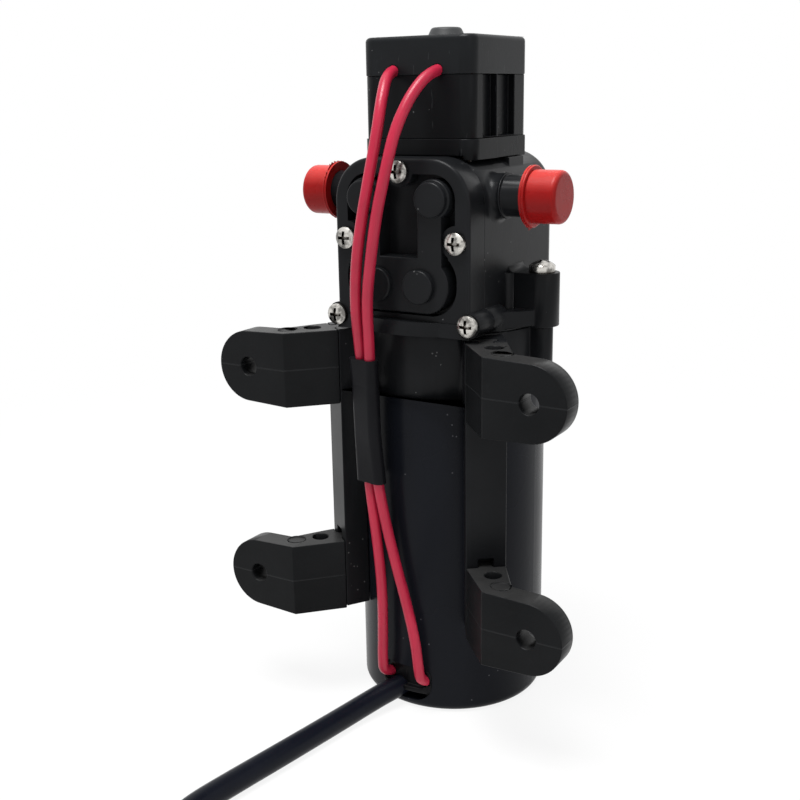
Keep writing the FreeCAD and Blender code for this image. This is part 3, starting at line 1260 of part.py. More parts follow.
def route_at(route, z):
    """The point of a route at height z."""
    points = [V(*p) for p in route]
    for a, b in zip(points, points[1:]):
        if (a.z - z) * (b.z - z) <= 0 and abs(a.z - b.z) > 0.1:
            return a + (b - a) * ((z - a.z) / (b.z - a.z))
    raise ValueError("the route has no point at that height")


def make_sleeve():
    """The flat shrink sleeve as a loft round the two leads, a little wider than they are."""
    wires = []
    for step in SLEEVE_STEPS:
        z = SLEEVE_TOP - SLEEVE_L * step
        a = route_at(lead_route(LEFT_LEAD_ROUTE), z)
        b = route_at(lead_route(RIGHT_LEAD_ROUTE), z)
        b.z = a.z
        wires.append(sleeve_section(a - X_AXIS * SLEEVE_SPARE_L, b + X_AXIS * SLEEVE_SPARE_R,
                                    LEAD_R + SLEEVE_WALL, Z_AXIS))
    return Part.makeLoft(wires, True, True)


def main():
    os.makedirs("parts", exist_ok=True)
    export("rear_bearing", make_bearing(REAR_BEARING_R, REAR_BEARING_H, CAN_FLOOR))
    export("front_bearing", make_bearing(FRONT_BEARING_R, FRONT_BEARING_H, front_plate_top - FRONT_BEARING_H))
    export("motor_front_plate", make_front_plate())
    magnet = make_magnet()
    export("magnets", magnet, magnet.mirror(V(0, 0, 0), Y_AXIS))
    export("rotor_shaft", upright(SHAFT_R, 0, 0, CAN_FLOOR + 0.3, shaft_top))
    export("rotor_core", make_rotor_core())
    export("rotor_windings", make_rotor_windings())
    export("commutator", make_commutator())
    export("brush_card", make_brush_card())
    export("brushes", *both_sides(make_brush()))
    export("brush_springs", *both_sides(make_brush_spring()))
    export("mounting_bracket", make_bracket())
    for height, z0 in (("lower", FOOT_LOW_Z), ("upper", foot_high_z)):
        foot = make_foot(z0)
        export("foot_" + height + "_right", foot)
        export("foot_" + height + "_left", mirrored(foot))
    export("pump_housing", make_pump_housing())
    export("pump_cover", make_pump_cover())
    export("cover_gasket", make_cover_gasket())
    export("valve_plate", make_valve_plate())
    export("inlet_valve", make_valve(-LOWER_BUMP_X, plate_back - VALVE_POCKET_DEPTH, 1))
    export("outlet_valve", make_valve(LOWER_BUMP_X, gasket_back + VALVE_POCKET_DEPTH, -1))
    export("diaphragm", make_diaphragm())
    export("diaphragm_clamp", make_clamp())
    export("clamp_screw", make_clamp_screw())
    export("connecting_rod", make_connecting_rod())
    export("cam_bearing", make_cam_bearing())
    export("eccentric_cam", make_cam())
    export("switch_base", make_switch_base())
    export("switch_diaphragm", make_switch_diaphragm())
    export("switch_piston", make_switch_piston())
    export("switch_spring", make_switch_spring())
    export("adjusting_screw", make_adjusting_screw())
    export("microswitch", make_microswitch())
    export("microswitch_button", make_microswitch_button())
    export("dome_plug", make_dome_plug())
    cap = make_port_cap()
    export("port_cap_right", cap)
    export("port_cap_left", mirrored(cap))
    export("cover_screws", *make_cover_screws())
    export("flange_screws", *make_flange_screws())
    export("motor_screws", *make_motor_screws())
    export("switch_screws", *make_switch_screws())

    cable = cable_sheath()
    left_lead = tube(lead_route(LEFT_LEAD_ROUTE), LEAD_R, "left lead")
    right_lead = tube(lead_route(RIGHT_LEAD_ROUTE), LEAD_R, "right lead")
    export("supply_cable", cable)
    export("cable_conductors", *make_conductors())
    export("switch_lead_left", left_lead)
    export("switch_lead_right", right_lead)
    # What the cords go into or through is cut to their own shape.
    leads = [left_lead, right_lead]
    export("motor_can", make_motor_can().cut(cable))
    export("cable_grommet", make_grommet().cut(leads + [cable]))
    export("switch_body", make_switch_body().cut(leads))
    export("switch_cap", make_switch_cap().cut(leads))
    export("shrink_sleeve", make_sleeve().cut(leads))


main()
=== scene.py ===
import random
from math import cos, pi, radians, sin

import bpy
from mathutils import Matrix, Vector


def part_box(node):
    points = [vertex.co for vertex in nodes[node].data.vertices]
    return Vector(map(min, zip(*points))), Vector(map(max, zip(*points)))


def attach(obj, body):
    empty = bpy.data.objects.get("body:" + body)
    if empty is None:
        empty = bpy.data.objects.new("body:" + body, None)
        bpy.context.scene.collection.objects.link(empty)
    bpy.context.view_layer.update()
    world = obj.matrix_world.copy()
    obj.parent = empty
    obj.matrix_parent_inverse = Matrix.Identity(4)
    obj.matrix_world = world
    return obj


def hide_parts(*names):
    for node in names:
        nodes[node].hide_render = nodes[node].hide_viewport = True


# A small diaphragm pump standing on its motor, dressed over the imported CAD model.
# Lengths are written in millimetres and turned into Blender's metres with MM. Only the floor, the lamps and
# the camera's clip distances are written in metres.

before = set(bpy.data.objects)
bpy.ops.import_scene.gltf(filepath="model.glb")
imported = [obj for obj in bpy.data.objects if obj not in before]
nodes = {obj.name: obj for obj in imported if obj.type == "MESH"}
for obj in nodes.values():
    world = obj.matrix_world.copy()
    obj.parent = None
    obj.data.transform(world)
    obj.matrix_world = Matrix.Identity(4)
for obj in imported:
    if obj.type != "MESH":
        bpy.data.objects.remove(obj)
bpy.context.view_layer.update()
collection = bpy.context.scene.collection
MM = 0.001


# Camera: fitted to the photograph by the motor can, the feet, the cover's screws and the ports

CAMERA_AT = (135.90, -243.29, 150.77)
CAMERA_YAW = radians(31.884)
CAMERA_PITCH = radians(15.145)
CAMERA_ROLL = radians(-1.034)
CAMERA_LENS = 51.036
SENSOR_WIDTH = 36
CLIP_NEAR = 0.01
CLIP_FAR = 20


def make_camera():
    """Camera turned by yaw and pitch from the pump's front, then rolled about its own line of sight."""
    flat = cos(CAMERA_PITCH)
    back = Vector((sin(CAMERA_YAW) * flat, -cos(CAMERA_YAW) * flat, sin(CAMERA_PITCH)))
    right = Vector((cos(CAMERA_YAW), sin(CAMERA_YAW), 0))
    up = back.cross(right)
    right, up = (right * cos(CAMERA_ROLL) + up * sin(CAMERA_ROLL),
                 up * cos(CAMERA_ROLL) - right * sin(CAMERA_ROLL))
    data = bpy.data.cameras.new("camera")
    data.lens = CAMERA_LENS
    data.sensor_width = SENSOR_WIDTH
    data.clip_start = CLIP_NEAR
    data.clip_end = CLIP_FAR
    camera = bpy.data.objects.new("camera", data)
    collection.objects.link(camera)
    place = Matrix((right, up, back)).transposed().to_4x4()
    place.translation = Vector(CAMERA_AT) * MM
    camera.matrix_world = place
    bpy.context.scene.camera = camera


make_camera()


# Materials: noise scales are per metre, bump depths are in millimetres, colours are linear

NOISE_LOW = 0.3             # nearly all of a noise texture lies between these two values
NOISE_HIGH = 0.7
TALL = (1, 1, 0.2)          # these stretch marks upwards, from a little to a lot
HAIR_STRETCH = (1, 1, 0.16)
STREAK_STRETCH = (1, 1, 0.12)
ALONG_Z = (1, 1, 0.1)
SPECK_GROUPS = 0.17         # the noise that groups specks is this much coarser than they are
SPECKS_OVER = 0.60          # and they show where it is higher than this
DUST = (0.24, 0.24, 0.24)
DUST_ON_PAINT = (0.25, 0.25, 0.27)
HAIR_LINE = (0.09, 0.095, 0.10)
# Painted shade: the dark colour painted into screws' recesses and the ring under their heads, where shade
# falls.
PAINTED_SHADE = (0.020, 0.015, 0.011)
SHADE_REACH = 1.1           # a screw's metal goes dark where its own walls stand nearer than this
SCUFFS_ROUGHEN = 0.12
LINE_CORE = 0.08            # half widths of a parting line: its crest, and its foot
LINE_EDGE = 0.22
RED_SCATTER = (3.0, 0.5, 0.4)   # how far red, green and blue light spread inside a red cap


def shaded(base, times, plus=0.0):
    return [c * times + plus for c in base]


class Nodes:
    """A material's node tree, with short calls for the nodes used here."""

    def __init__(self, name):
        self.material = bpy.data.materials.new(name)
        self.material.use_nodes = True
        self.tree = self.material.node_tree
        self.shader = self.tree.nodes["Principled BSDF"]
        self.place = self.add("ShaderNodeTexCoord").outputs["Object"]

    def add(self, kind, **values):
        node = self.tree.nodes.new(kind)
        for key, value in values.items():
            setattr(node, key, value)
        return node

    def link(self, source, target):
        self.tree.links.new(source, target)

    def feed(self, socket, value):
        """Link a socket, or set it to a number or a colour."""
        if isinstance(value, (int, float)):
            socket.default_value = value
        elif isinstance(value, (tuple, list)):
            socket.default_value = (*value, 1)
        else:
            self.link(value, socket)

    def stretched(self, scale):
        mapping = self.add("ShaderNodeMapping")
        mapping.inputs["Scale"].default_value = scale
        self.link(self.place, mapping.inputs["Vector"])
        return mapping.outputs["Vector"]

    def noise(self, scale, detail=3, roughness=0.55, stretch=None):
        node = self.add("ShaderNodeTexNoise")
        node.inputs["Scale"].default_value = scale
        node.inputs["Detail"].default_value = detail
        node.inputs["Roughness"].default_value = roughness
        self.link(self.stretched(stretch) if stretch else self.place, node.inputs["Vector"])
        return node.outputs["Fac"]

    def ranged(self, value, low, high, to_low, to_high):
        node = self.add("ShaderNodeMapRange")
        for key, number in (("From Min", low), ("From Max", high), ("To Min", to_low), ("To Max", to_high)):
            node.inputs[key].default_value = number
        self.link(value, node.inputs["Value"])
        return node.outputs["Result"]

    def patches(self, scale, start=NOISE_LOW, full=NOISE_HIGH, most=1.0, **noise):
        """Noise as patches: 0 where it lies under start, rising to most where it reaches full."""
        return self.ranged(self.noise(scale, **noise), start, full, 0, most)

    def wavering(self, middle, below, above, scale, detail=3):
        """A value that wanders between middle - below and middle + above."""
        return self.ranged(self.noise(scale, detail), NOISE_LOW, NOISE_HIGH, middle - below, middle + above)

    def looks_up(self, start, most=1.0):
        """0 where the surface's normal rises less than start, up to most where it points straight up."""
        normal = self.add("ShaderNodeSeparateXYZ")
        self.link(self.add("ShaderNodeNewGeometry").outputs["Normal"], normal.inputs[0])
        return self.ranged(normal.outputs["Z"], start, 1.0, 0, most)

    def math(self, operation, a, b):
        node = self.add("ShaderNodeMath", operation=operation)
        self.feed(node.inputs[0], a)
        self.feed(node.inputs[1], b)
        return node.outputs[0]

    def mix(self, factor, a, b):
        node = self.add("ShaderNodeMix", data_type="RGBA")
        self.feed(node.inputs["Factor"], factor)
        for key, value in (("A", a), ("B", b)):
            self.feed([s for s in node.inputs if s.name == key and s.type == "RGBA"][0], value)
        return [s for s in node.outputs if s.type == "RGBA"][0]

    def colour(self, value):
        self.feed(self.shader.inputs["Base Color"], value)

    def rough(self, value):
        self.feed(self.shader.inputs["Roughness"], value)

    def gloss(self, value):
        self.shader.inputs["Specular IOR Level"].default_value = value

    def bump(self, *layers):
        """Each layer is (height, depth in millimetres, strength)."""
        normal = None
        for height, depth, strength in layers:
            node = self.add("ShaderNodeBump")
            node.inputs["Distance"].default_value = depth * MM
            node.inputs["Strength"].default_value = strength
            self.link(height, node.inputs["Height"])
            if normal is not None:
                self.link(normal, node.inputs["Normal"])
            normal = node.outputs["Normal"]
        self.link(normal, self.shader.inputs["Normal"])

    def specks(self, scale, size, most):
        """Small scattered dots: most on a speck, 0 elsewhere. A wide noise keeps them in groups."""
        cells = self.add("ShaderNodeTexVoronoi")
        cells.inputs["Scale"].default_value = scale
        self.link(self.place, cells.inputs["Vector"])
        dot = self.math("LESS_THAN", cells.outputs["Distance"], size)
        group = self.math("GREATER_THAN", self.noise(scale * SPECK_GROUPS, detail=2), SPECKS_OVER)
        return self.math("MULTIPLY", self.math("MULTIPLY", dot, group), most)

    def parting_lines(self, heights):
        """Thin raised lines round the piece: 1 on a line's crest, 0 away from it."""
        split = self.add("ShaderNodeSeparateXYZ")
        self.link(self.place, split.inputs[0])
        ridge = None
        for height in heights:
            away = self.math("ABSOLUTE", self.math("SUBTRACT", split.outputs["Z"], height), 0)
            line = self.ranged(away, LINE_CORE * MM, LINE_EDGE * MM, 1, 0)
            ridge = line if ridge is None else self.math("MAXIMUM", ridge, line)
        return ridge


def plastic(name, base, rough, speckle=0.35, gloss=0.2, scratches=0.0):
    """Moulded black plastic with flow marks, fine grain, faint scuffs, hair lines and specks of dust."""
    n = Nodes(name)
    flow = n.patches(scale=60, start=0.35)
    scuffs = n.patches(scale=220, start=0.60, full=0.78, most=0.5, detail=5, roughness=0.7, stretch=TALL)
    tone = n.mix(flow, base, shaded(base, 1.3, 0.0008))
    tone = n.mix(scuffs, tone, shaded(base, 1.7, 0.003))
    if scratches:
        hairs = n.patches(scale=1300, start=0.70, full=0.73, most=scratches, detail=2, roughness=0.5,
                          stretch=HAIR_STRETCH)
        tone = n.mix(hairs, tone, HAIR_LINE)
    n.colour(n.mix(n.specks(scale=520, size=0.10, most=speckle), tone, DUST))
    n.rough(n.math("ADD", n.wavering(rough, 0.05, 0.07, scale=35, detail=4),
                   n.math("MULTIPLY", scuffs, SCUFFS_ROUGHEN)))
    n.bump((n.noise(1400), 0.05, 0.3), (n.noise(160, detail=2), 0.18, 0.15))
    n.gloss(gloss)
    return n.material


def painted(name, base, rough, gloss):
    """Satin paint on a drawn can: faint orange peel, soft vertical bands of painted reflection and rare
    specks.
    """
    n = Nodes(name)
    # Painted reflection: paler vertical bands in the colour stand in for mirrored light.
    reflection_streaks = n.patches(scale=90, start=0.35, roughness=0.5, stretch=STREAK_STRETCH)
    tone = n.mix(reflection_streaks, base, shaded(base, 1.25))
    n.colour(n.mix(n.specks(scale=420, size=0.08, most=0.3), tone, DUST_ON_PAINT))
    n.rough(n.wavering(rough, 0.05, 0.06, scale=25, detail=4))
    n.bump((n.noise(700, detail=2), 0.06, 0.3), (n.noise(120, detail=2), 0.15, 0.12))
    n.gloss(gloss)
    return n.material


def rubber(name, base, rough, gloss=0.2, lines=(), top_sheen=0.0):
    """Moulded rubber with a faint bloom; lines are heights of parting lines, in metres.
    The last argument is how pale the faces that look up are painted: a painted sheen of light on them."""
    n = Nodes(name)
    tone = n.mix(n.patches(scale=80, detail=4), base, shaded(base, 1.35, 0.0008))
    # Painted sheen: faces that look up are painted paler, as light falls on them from above.
    if top_sheen:
        dust_and_sheen = n.math("MULTIPLY", n.looks_up(0.75), n.wavering(0.85, 0.15, 0.15, scale=260, detail=4))
        tone = n.mix(dust_and_sheen, tone, (top_sheen, top_sheen, top_sheen))
    bloom_and_top_light = n.patches(scale=300, start=0.6, full=0.8, most=0.35, detail=5, roughness=0.7)
    tone = n.mix(bloom_and_top_light, tone, shaded(base, 2, 0.004))
    layers = [(n.noise(1800), 0.06, 0.35), (n.noise(200), 0.16, 0.2)]
    if lines:
        ridge = n.parting_lines(lines)
        tone = n.mix(n.math("MULTIPLY", ridge, 0.5), tone, shaded(base, 2.2, 0.012))
        layers.append((ridge, 0.12, 0.6))
    n.colour(tone)
    n.rough(n.wavering(rough, 0.06, 0.08, scale=60, detail=4))
    n.bump(*layers)
    n.gloss(gloss)
    return n.material


def sheathing(name, base, rough, gloss):
    """A cord's smooth extruded skin, with slight waviness and handling marks."""
    n = Nodes(name)
    tone = n.mix(n.patches(scale=120), shaded(base, 0.9), shaded(base, 1.1))
    marks = n.patches(scale=500, start=0.66, full=0.8, most=0.3, detail=4, roughness=0.7)
    n.colour(n.mix(marks, tone, shaded(base, 0.6)))
    n.rough(n.wavering(rough, 0.05, 0.08, scale=90))
    n.bump((n.noise(260, detail=2), 0.12, 0.25), (n.noise(1500, detail=2), 0.03, 0.3))
    n.gloss(gloss)
    return n.material


def metal(name, base, rough, stretch=None, scale=900, wear=0.3):
    """Turned, drawn or sintered metal with fine marks, drawn out along the piece where stretch says so."""
    n = Nodes(name)
    n.shader.inputs["Metallic"].default_value = 1
    marks = n.noise(scale, detail=4, roughness=0.6, stretch=stretch)
    n.colour(n.mix(n.ranged(marks, NOISE_LOW, NOISE_HIGH, 0, wear), base, shaded(base, 0.7)))
    n.rough(n.wavering(rough, 0.06, 0.10, scale=scale * 0.3))
    n.bump((marks, 0.03, 0.35))
    return n.material


def screw_metal(name, base, rough):
    """Bright plated screws, with painted shade in deep recesses and the ring under the head, and painted
    dark reflections in smeared patches.
    """
    n = Nodes(name)
    n.shader.inputs["Metallic"].default_value = 1
    # Painted reflections: dark patches in the metal's colour stand in for dark surroundings mirrored in it.
    painted_reflections = n.patches(scale=420, start=0.44, full=0.58, most=0.9, roughness=0.6)
    tone = n.mix(painted_reflections, base, shaded(base, 0.22))
    # Painted shade: the ambient occlusion node darkens the colour where the screw's own walls stand close.
    cover = n.add("ShaderNodeAmbientOcclusion", samples=8)
    cover.inputs["Distance"].default_value = SHADE_REACH * MM
    recess = n.ranged(cover.outputs["AO"], 0.50, 0.90, 1, 0)
    n.colour(n.mix(recess, tone, PAINTED_SHADE))
    n.rough(n.wavering(rough, 0.05, 0.12, scale=300))
    n.bump((n.noise(900), 0.04, 0.4))
    return n.material


def coloured(name, base, rough, dark=0.75, scatter=0.0, gloss=0.35, bloom_and_top_light=None):
    """Soft coloured plastic with uneven tone and a fine skin. The colour given for where it looks up is
    painted light on its upper faces.
    """
    n = Nodes(name)
    tone = n.mix(n.patches(scale=110, detail=4), shaded(base, dark), base)
    # Painted light: faces that look up take a paler colour, as the light falls on them from above.
    if bloom_and_top_light:
        tone = n.mix(n.looks_up(0.25, 0.7), tone, bloom_and_top_light)
    n.colour(tone)
    n.rough(n.wavering(rough, 0.06, 0.08, scale=140))
    n.bump((n.noise(380), 0.16, 0.25), (n.noise(1500, detail=2), 0.04, 0.3))
    n.gloss(gloss)
    if scatter:
        n.shader.inputs["Subsurface Weight"].default_value = scatter
        n.shader.inputs["Subsurface Radius"].default_value = [c * MM for c in RED_SCATTER]
    return n.material


def mid_height(node):
    low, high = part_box(node)
    return (low[2] + high[2]) / 2


FOOT_LINES = [mid_height("foot_lower_right"), mid_height("foot_upper_right")]

BLACK = plastic("black_plastic", (0.0070, 0.0075, 0.0085), 0.32, gloss=0.105)
CAP_BLACK = plastic("switch_cap_plastic", (0.0072, 0.0082, 0.0094), 0.30, 0.3, gloss=0.12, scratches=0.2)
SWITCH_BLACK = plastic("switch_plastic", (0.0038, 0.0042, 0.0050), 0.30, 0.4, gloss=0.09, scratches=0.2)
CAN = painted("motor_paint", (0.0060, 0.0068, 0.0096), 0.27, gloss=0.085)
# The feet's faces that look up get a painted sheen of light.
FOOT = rubber("foot_rubber", (0.0050, 0.0054, 0.0060), 0.34, gloss=0.09, lines=FOOT_LINES, top_sheen=0.03)
SEAL = rubber("seal_rubber", (0.0065, 0.0065, 0.0072), 0.5)
# The grommet's rubber is painted darker than the feet's: painted shade, where shade falls between the leads
# and the cable.
GROMMET = rubber("grommet_rubber", (0.0030, 0.0030, 0.0036), 0.42, gloss=0.10)
CABLE = sheathing("cable_sheath", (0.0040, 0.0050, 0.0092), 0.32, gloss=0.12)
SLEEVE = rubber("sleeve_skin", (0.0060, 0.0061, 0.0074), 0.36, gloss=0.07)
LEAD = sheathing("lead_red", (0.44, 0.016, 0.048), 0.32, gloss=0.3)
# The red caps' faces that look up are painted paler: painted light from above.
RED = coloured("cap_red", (0.29, 0.008, 0.008), 0.28, dark=0.85, scatter=0.30, gloss=0.11,
               bloom_and_top_light=(0.75, 0.085, 0.075))
SCREW = screw_metal("screw_steel", (0.64, 0.62, 0.58), 0.24)
STEEL = metal("turned_steel", (0.56, 0.57, 0.58), 0.30, ALONG_Z)
WIRE = metal("spring_wire", (0.62, 0.62, 0.63), 0.28)
COPPER = metal("copper", (0.85, 0.45, 0.28), 0.30, TALL, scale=1200)
BRONZE = metal("sintered_bronze", (0.62, 0.44, 0.24), 0.45, scale=1500, wear=0.6)
BRASS = metal("turned_brass", (0.76, 0.58, 0.30), 0.28, ALONG_Z)
FERRITE = rubber("ferrite", (0.030, 0.030, 0.032), 0.6)
CARD = coloured("laminate", (0.30, 0.17, 0.08), 0.5)
CARBON = rubber("carbon", (0.018, 0.018, 0.019), 0.5)
WHITE = coloured("white_plastic", (0.78, 0.78, 0.74), 0.42, dark=0.93)
MICRO = plastic("microswitch_plastic", (0.02, 0.02, 0.022), 0.4)
DOME = coloured("dome_grey", (0.060, 0.062, 0.064), 0.45, dark=0.7, gloss=0.2)

FINISH = {
    BLACK: ["mounting_bracket", "pump_housing", "pump_cover"],
    CAP_BLACK: ["switch_cap"],
    SWITCH_BLACK: ["switch_base", "switch_body"],
    CAN: ["motor_can"],
    FOOT: ["foot_lower_right", "foot_lower_left", "foot_upper_right", "foot_upper_left"],
    SEAL: ["cover_gasket", "inlet_valve", "outlet_valve", "diaphragm", "switch_diaphragm"],
    GROMMET: ["cable_grommet"],
    CABLE: ["supply_cable"],
    SLEEVE: ["shrink_sleeve"],
    LEAD: ["switch_lead_left", "switch_lead_right", "cable_conductors"],
    RED: ["port_cap_left", "port_cap_right"],
    SCREW: ["cover_screws", "flange_screws", "motor_screws", "switch_screws"],
    STEEL: ["motor_front_plate", "rotor_shaft", "rotor_core", "cam_bearing", "clamp_screw",
            "adjusting_screw"],
    WIRE: ["brush_springs", "switch_spring"],
    COPPER: ["rotor_windings", "commutator"],
    BRONZE: ["rear_bearing", "front_bearing"],
    BRASS: ["eccentric_cam"],
    FERRITE: ["magnets"],
    CARD: ["brush_card"],
    CARBON: ["brushes"],
    WHITE: ["valve_plate", "diaphragm_clamp", "connecting_rod", "switch_piston", "microswitch_button"],
    MICRO: ["microswitch"],
    DOME: ["dome_plug"],
}
for material, names in FINISH.items():
    for name in names:
        nodes[name].data.materials.clear()
        nodes[name].data.materials.append(material)


# Soft edges on the moulded CAD pieces: their sharp edges catch light as moulded ones do

MOULD_EDGE = 0.22           # width of the softened edge on the large mouldings
SWITCH_EDGE = 0.20
FOOT_EDGE = 0.30
GROMMET_EDGE = 0.25
WELD_WITHIN = 0.004         # the mesh's doubled points lie closer together than this
FLAT_WITHIN = radians(1.5)  # faces that turn less than this become one
SHARP_OVER = radians(38)
EDGE_SEGMENTS = 2

SOFT_EDGES = [
    (MOULD_EDGE, ["mounting_bracket", "pump_housing", "pump_cover"]),
    (SWITCH_EDGE, ["switch_base", "switch_body", "switch_cap"]),
    (FOOT_EDGE, FINISH[FOOT]),
    (GROMMET_EDGE, ["cable_grommet"]),
]


def soften(name, width, clamp):
    """Bevel a CAD piece's sharp edges. The clamp narrows the bevel where edges run close together."""
    piece = nodes[name]
    weld = piece.modifiers.new("weld", "WELD")
    weld.merge_threshold = WELD_WITHIN * MM
    flat = piece.modifiers.new("flat", "DECIMATE")
    flat.decimate_type = "DISSOLVE"
    flat.angle_limit = FLAT_WITHIN
    bevel = piece.modifiers.new("bevel", "BEVEL")
    bevel.width = width * MM
    bevel.segments = EDGE_SEGMENTS
    bevel.limit_method = "ANGLE"
    bevel.angle_limit = SHARP_OVER
    bevel.harden_normals = True
    bevel.use_clamp_overlap = clamp
    bevel.miter_outer = "MITER_ARC"


for width, names in SOFT_EDGES:
    for name in names:
        soften(name, width, clamp=name == "pump_cover")


# The cable and the two leads, on the routes of the CAD model

CABLE_ROUTE = [
    (-2.1, -19.4, 5.0), (-5.0, -26.6, 4.0), (-6.9, -32.2, 3.2), (-8.5, -39.2, 2.75),
    (-10.0, -48.5, 2.75), (-12.2, -61.5, 2.75), (-14.7, -75.5, 2.75), (-16.7, -88.5, 2.75),
    (-14.3, -100.8, 2.75), (-8.0, -111.6, 2.75), (1.6, -119.6, 2.75), (13.3, -124.1, 2.75),
    (26.1, -124.9, 2.75), (39.4, -122.8, 2.75), (52.4, -123.3, 2.75),
]
LEFT_LEAD_ROUTE = [
    (-6.1, -14.5, 155.7), (-5.0, -19.6, 155.2), (-2.9, -25.4, 150.2), (-2.2, -29.2, 141.6),
    (-3.3, -31.2, 132.1), (-5.3, -31.4, 123.1), (-7.1, -31.2, 113.6), (-8.3, -30.2, 103.6),
    (-8.5, -28.6, 94.1), (-8.6, -27.0, 84.6), (-8.5, -26.7, 72.6), (-8.1, -26.7, 61.1),
    (-6.8, -26.6, 50.6), (-5.9, -26.1, 39.6), (-5.4, -25.9, 29.1), (-5.6, -25.9, 19.1),
    (-5.8, -25.9, 13.4), (-6.0, -25.3, 8.7), (-5.6, -19.4, 7.3),
]
RIGHT_LEAD_ROUTE = [
    (5.85, -14.5, 155.7), (5.5, -18.9, 155.2), (3.9, -24.6, 150.3), (2.3, -28.9, 142.8),
    (1.2, -31.0, 134.6), (-1.0, -31.5, 125.6), (-2.9, -31.4, 115.6), (-4.95, -30.5, 105.1),
    (-5.4, -29.2, 95.1), (-5.8, -28.4, 84.6), (-5.7, -28.2, 72.6), (-5.0, -27.6, 61.1),
    (-3.6, -26.7, 50.6), (-1.1, -26.2, 39.6), (1.6, -25.9, 29.6), (3.9, -25.9, 20.1),
    (4.6, -25.8, 12.8), (4.7, -24.9, 8.8), (5.1, -19.4, 6.8),
]
CABLE_R = 2.75
LEAD_R = 1.3
STEPS_PER_SPAN = 12
ROUND_STEPS = 5


def cord_curve(name, route, radius, material):
    """A round cord on a smooth line. The route's points are the line's control points."""
    data = bpy.data.curves.new(name, "CURVE")
    data.dimensions = "3D"
    data.resolution_u = STEPS_PER_SPAN
    spline = data.splines.new("NURBS")
    spline.points.add(len(route) - 1)
    for point, at in zip(spline.points, route):
        point.co = (*(c * MM for c in at), 1)
    spline.order_u = 3
    spline.use_endpoint_u = True
    data.bevel_depth = radius * MM
    data.bevel_resolution = ROUND_STEPS
    data.use_fill_caps = True
    data.materials.append(material)
    piece = bpy.data.objects.new(name, data)
    collection.objects.link(piece)
    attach(piece, "pump")
    return piece


def spline_length(piece):
    """Length of a cord's own line, in metres."""
    bare = piece.data.copy()
    bare.bevel_depth = 0
    holder = bpy.data.objects.new("measure", bare)
    mesh = bpy.data.meshes.new_from_object(holder)
    points = [v.co for v in mesh.vertices]
    total = sum((a - b).length for a, b in zip(points, points[1:]))
    bpy.data.objects.remove(holder)
    bpy.data.curves.remove(bare)
    bpy.data.meshes.remove(mesh)
    return total


cable = cord_curve("cable", CABLE_ROUTE, CABLE_R, CABLE)
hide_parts("supply_cable")
spline_length(cable)
for name, route, node in (("lead_left", LEFT_LEAD_ROUTE, "switch_lead_left"),
                          ("lead_right", RIGHT_LEAD_ROUTE, "switch_lead_right")):
    lead = cord_curve(name, route, LEAD_R, LEAD)
    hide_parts(node)
    spline_length(lead)


# Ragged flash round the dust caps' lips

LIP_R = 6.9
LIP_W = 1.1
FLASH_STEPS = 110
FLASH_SUNK = 0.1            # how deep in the lip the flash starts
FLASH_HALF_ROOT = 0.07      # half its thickness, at the lip and at its torn edge
FLASH_HALF_TIP = 0.03
FLASH_LEAST = 0.04          # how far it stands out all round, and how much more at random
FLASH_RAGGED = 0.12
FLASH_TORN = 0.75           # how much further it reaches where it is torn
FLASH_CURL = 0.35           # and how far it bends aside there
TORN_FOCUS = 6              # the higher, the shorter the torn stretch
TORN_SPIKES = 1.5           # the higher, the fewer long rags
CURL_INWARD = 0.3           # share of the rags that bend towards the cap's mouth


def lip_flash(name, side, body, seed, centre):
    """A torn thin rim on the right cap, side 1, or the left one, side -1, whose node has its body's name.
    It is widest round the angle centre, in degrees seen along the X axis."""
    low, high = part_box(body)
    lip_x = min(abs(low[0]), abs(high[0])) + LIP_W / 2 * MM
    port_y = (low[1] + high[1]) / 2
    port_z = high[2] - LIP_R * MM
    dice = random.Random(seed)
    points = []
    for i in range(FLASH_STEPS):
        angle = 2 * pi * i / FLASH_STEPS
        near = max(0.0, cos(angle - radians(centre))) ** TORN_FOCUS
        reach = FLASH_LEAST + FLASH_RAGGED * dice.random() + near * FLASH_TORN * dice.random() ** TORN_SPIKES
        bend = near * FLASH_CURL * (dice.random() - CURL_INWARD)
        for across, out in ((-FLASH_HALF_ROOT, -FLASH_SUNK), (-FLASH_HALF_TIP + bend, reach),
                            (FLASH_HALF_TIP + bend, reach), (FLASH_HALF_ROOT, -FLASH_SUNK)):
            r = (LIP_R + out) * MM
            points.append((side * (lip_x + across * MM), port_y + r * cos(angle), port_z + r * sin(angle)))
    faces = []
    for i in range(FLASH_STEPS):
        here, there = 4 * i, 4 * ((i + 1) % FLASH_STEPS)
        faces += [(here + j, here + (j + 1) % 4, there + (j + 1) % 4, there + j) for j in range(4)]
    mesh = bpy.data.meshes.new(name)
    mesh.from_pydata(points, [], faces)
    mesh.materials.append(RED)
    piece = bpy.data.objects.new(name, mesh)
    collection.objects.link(piece)
    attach(piece, body)


lip_flash("flash_right", 1, "port_cap_right", 3, -115)
lip_flash("flash_left", -1, "port_cap_left", 8, 120)


# Floor, world and lamps, in metres and watts

FLOOR_HALF = 4.0
PAPER = (0.93, 0.93, 0.93)
WHITE_NEAR = 0.88           # how white the floor shows within SHADOW_NEAR of the pump, where its shadow lies
SHADOW_NEAR = 0.07
SHADOW_FAR = 0.36
WORLD_LIGHT = 0.26          # the world's strength as a light
WORLD_SHOWN = 1.0           # its strength to the camera and in reflections
KEY_AT = (-0.05, -0.28, 1.20)
KEY_AIM = (0, 0, 0.09)
KEY_WATTS = 19.0
FILL_AT = (0.9, -0.5, 0.5)
FILL_AIM = (0, 0, 0.08)
FILL_WATTS = 0.8
LAMP_SIZE = 0.6


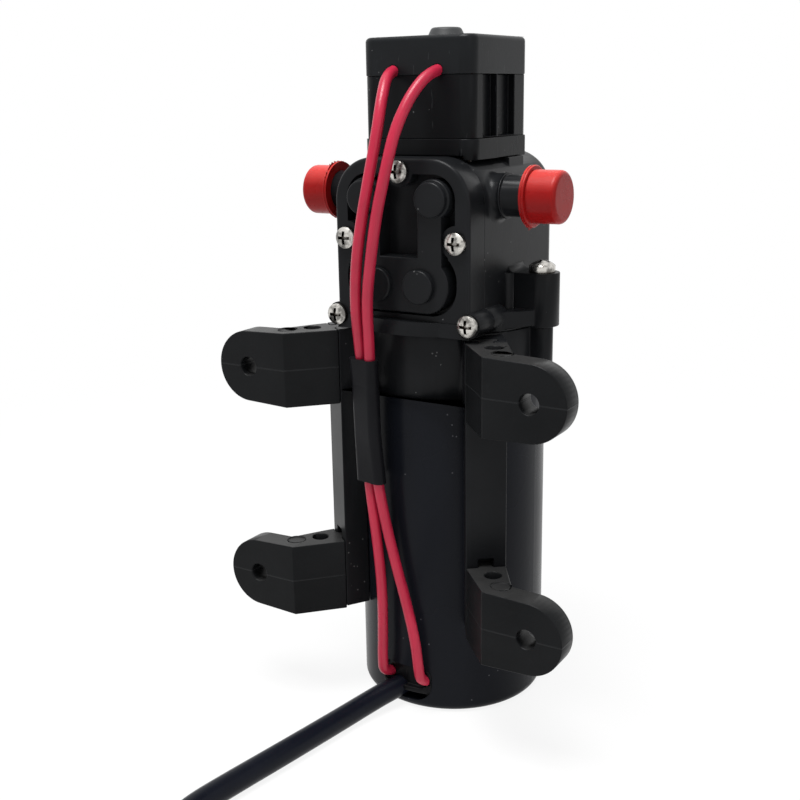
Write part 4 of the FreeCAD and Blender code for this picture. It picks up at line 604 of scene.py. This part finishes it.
def make_stage():
    """White paper floor. It shows as white to the camera and in reflections, fully so away from the pump."""
    far = FLOOR_HALF
    mesh = bpy.data.meshes.new("floor")
    mesh.from_pydata([(-far, -far, 0), (far, -far, 0), (far, far, 0), (-far, far, 0)], [], [(0, 1, 2, 3)])
    floor = bpy.data.objects.new("floor", mesh)
    collection.objects.link(floor)
    n = Nodes("floor_paper")
    n.colour(PAPER)
    n.rough(0.9)
    n.gloss(0.1)
    glow = n.add("ShaderNodeEmission")
    glow.inputs["Color"].default_value = (1, 1, 1, 1)
    light_path = n.add("ShaderNodeLightPath")
    distance = n.add("ShaderNodeVectorMath", operation="LENGTH")
    n.link(n.place, distance.inputs[0])
    share = n.ranged(distance.outputs["Value"], SHADOW_NEAR, SHADOW_FAR, WHITE_NEAR, 1.0)
    mix = n.add("ShaderNodeMixShader")
    n.link(n.shader.outputs["BSDF"], mix.inputs[1])
    n.link(glow.outputs["Emission"], mix.inputs[2])
    seen = n.math("MAXIMUM", light_path.outputs["Is Camera Ray"], light_path.outputs["Is Glossy Ray"])
    n.link(n.math("MULTIPLY", seen, share), mix.inputs["Fac"])
    n.link(mix.outputs["Shader"], n.tree.nodes["Material Output"].inputs["Surface"])
    mesh.materials.append(n.material)


def make_world():
    """Even white surroundings: a weak light, but plain white to the camera and in reflections."""
    world = bpy.data.worlds.new("world")
    bpy.context.scene.world = world
    world.use_nodes = True
    tree = world.node_tree
    background = tree.nodes["Background"]
    background.inputs["Color"].default_value = (1, 1, 1, 1)
    path = tree.nodes.new("ShaderNodeLightPath")
    shown = path.outputs["Is Camera Ray"]
    for ray in ("Is Glossy Ray", "Is Transmission Ray"):
        node = tree.nodes.new("ShaderNodeMath")
        node.operation = "MAXIMUM"
        tree.links.new(shown, node.inputs[0])
        tree.links.new(path.outputs[ray], node.inputs[1])
        shown = node.outputs[0]
    level = tree.nodes.new("ShaderNodeMapRange")
    level.inputs["To Min"].default_value = WORLD_LIGHT
    level.inputs["To Max"].default_value = WORLD_SHOWN
    tree.links.new(shown, level.inputs["Value"])
    tree.links.new(level.outputs["Result"], background.inputs["Strength"])


def lamp(name, at, aim, power):
    """A square soft lamp."""
    data = bpy.data.lights.new(name, "AREA")
    data.shape = "RECTANGLE"
    data.size = data.size_y = LAMP_SIZE
    data.energy = power
    light = bpy.data.objects.new(name, data)
    collection.objects.link(light)
    turn = (Vector(aim) - Vector(at)).to_track_quat("-Z", "Y").to_matrix().to_4x4()
    light.matrix_world = Matrix.Translation(Vector(at)) @ turn


make_stage()
make_world()
lamp("key", KEY_AT, KEY_AIM, KEY_WATTS)
lamp("fill", FILL_AT, FILL_AIM, FILL_WATTS)
bpy.context.scene.view_settings.view_transform = "Standard"
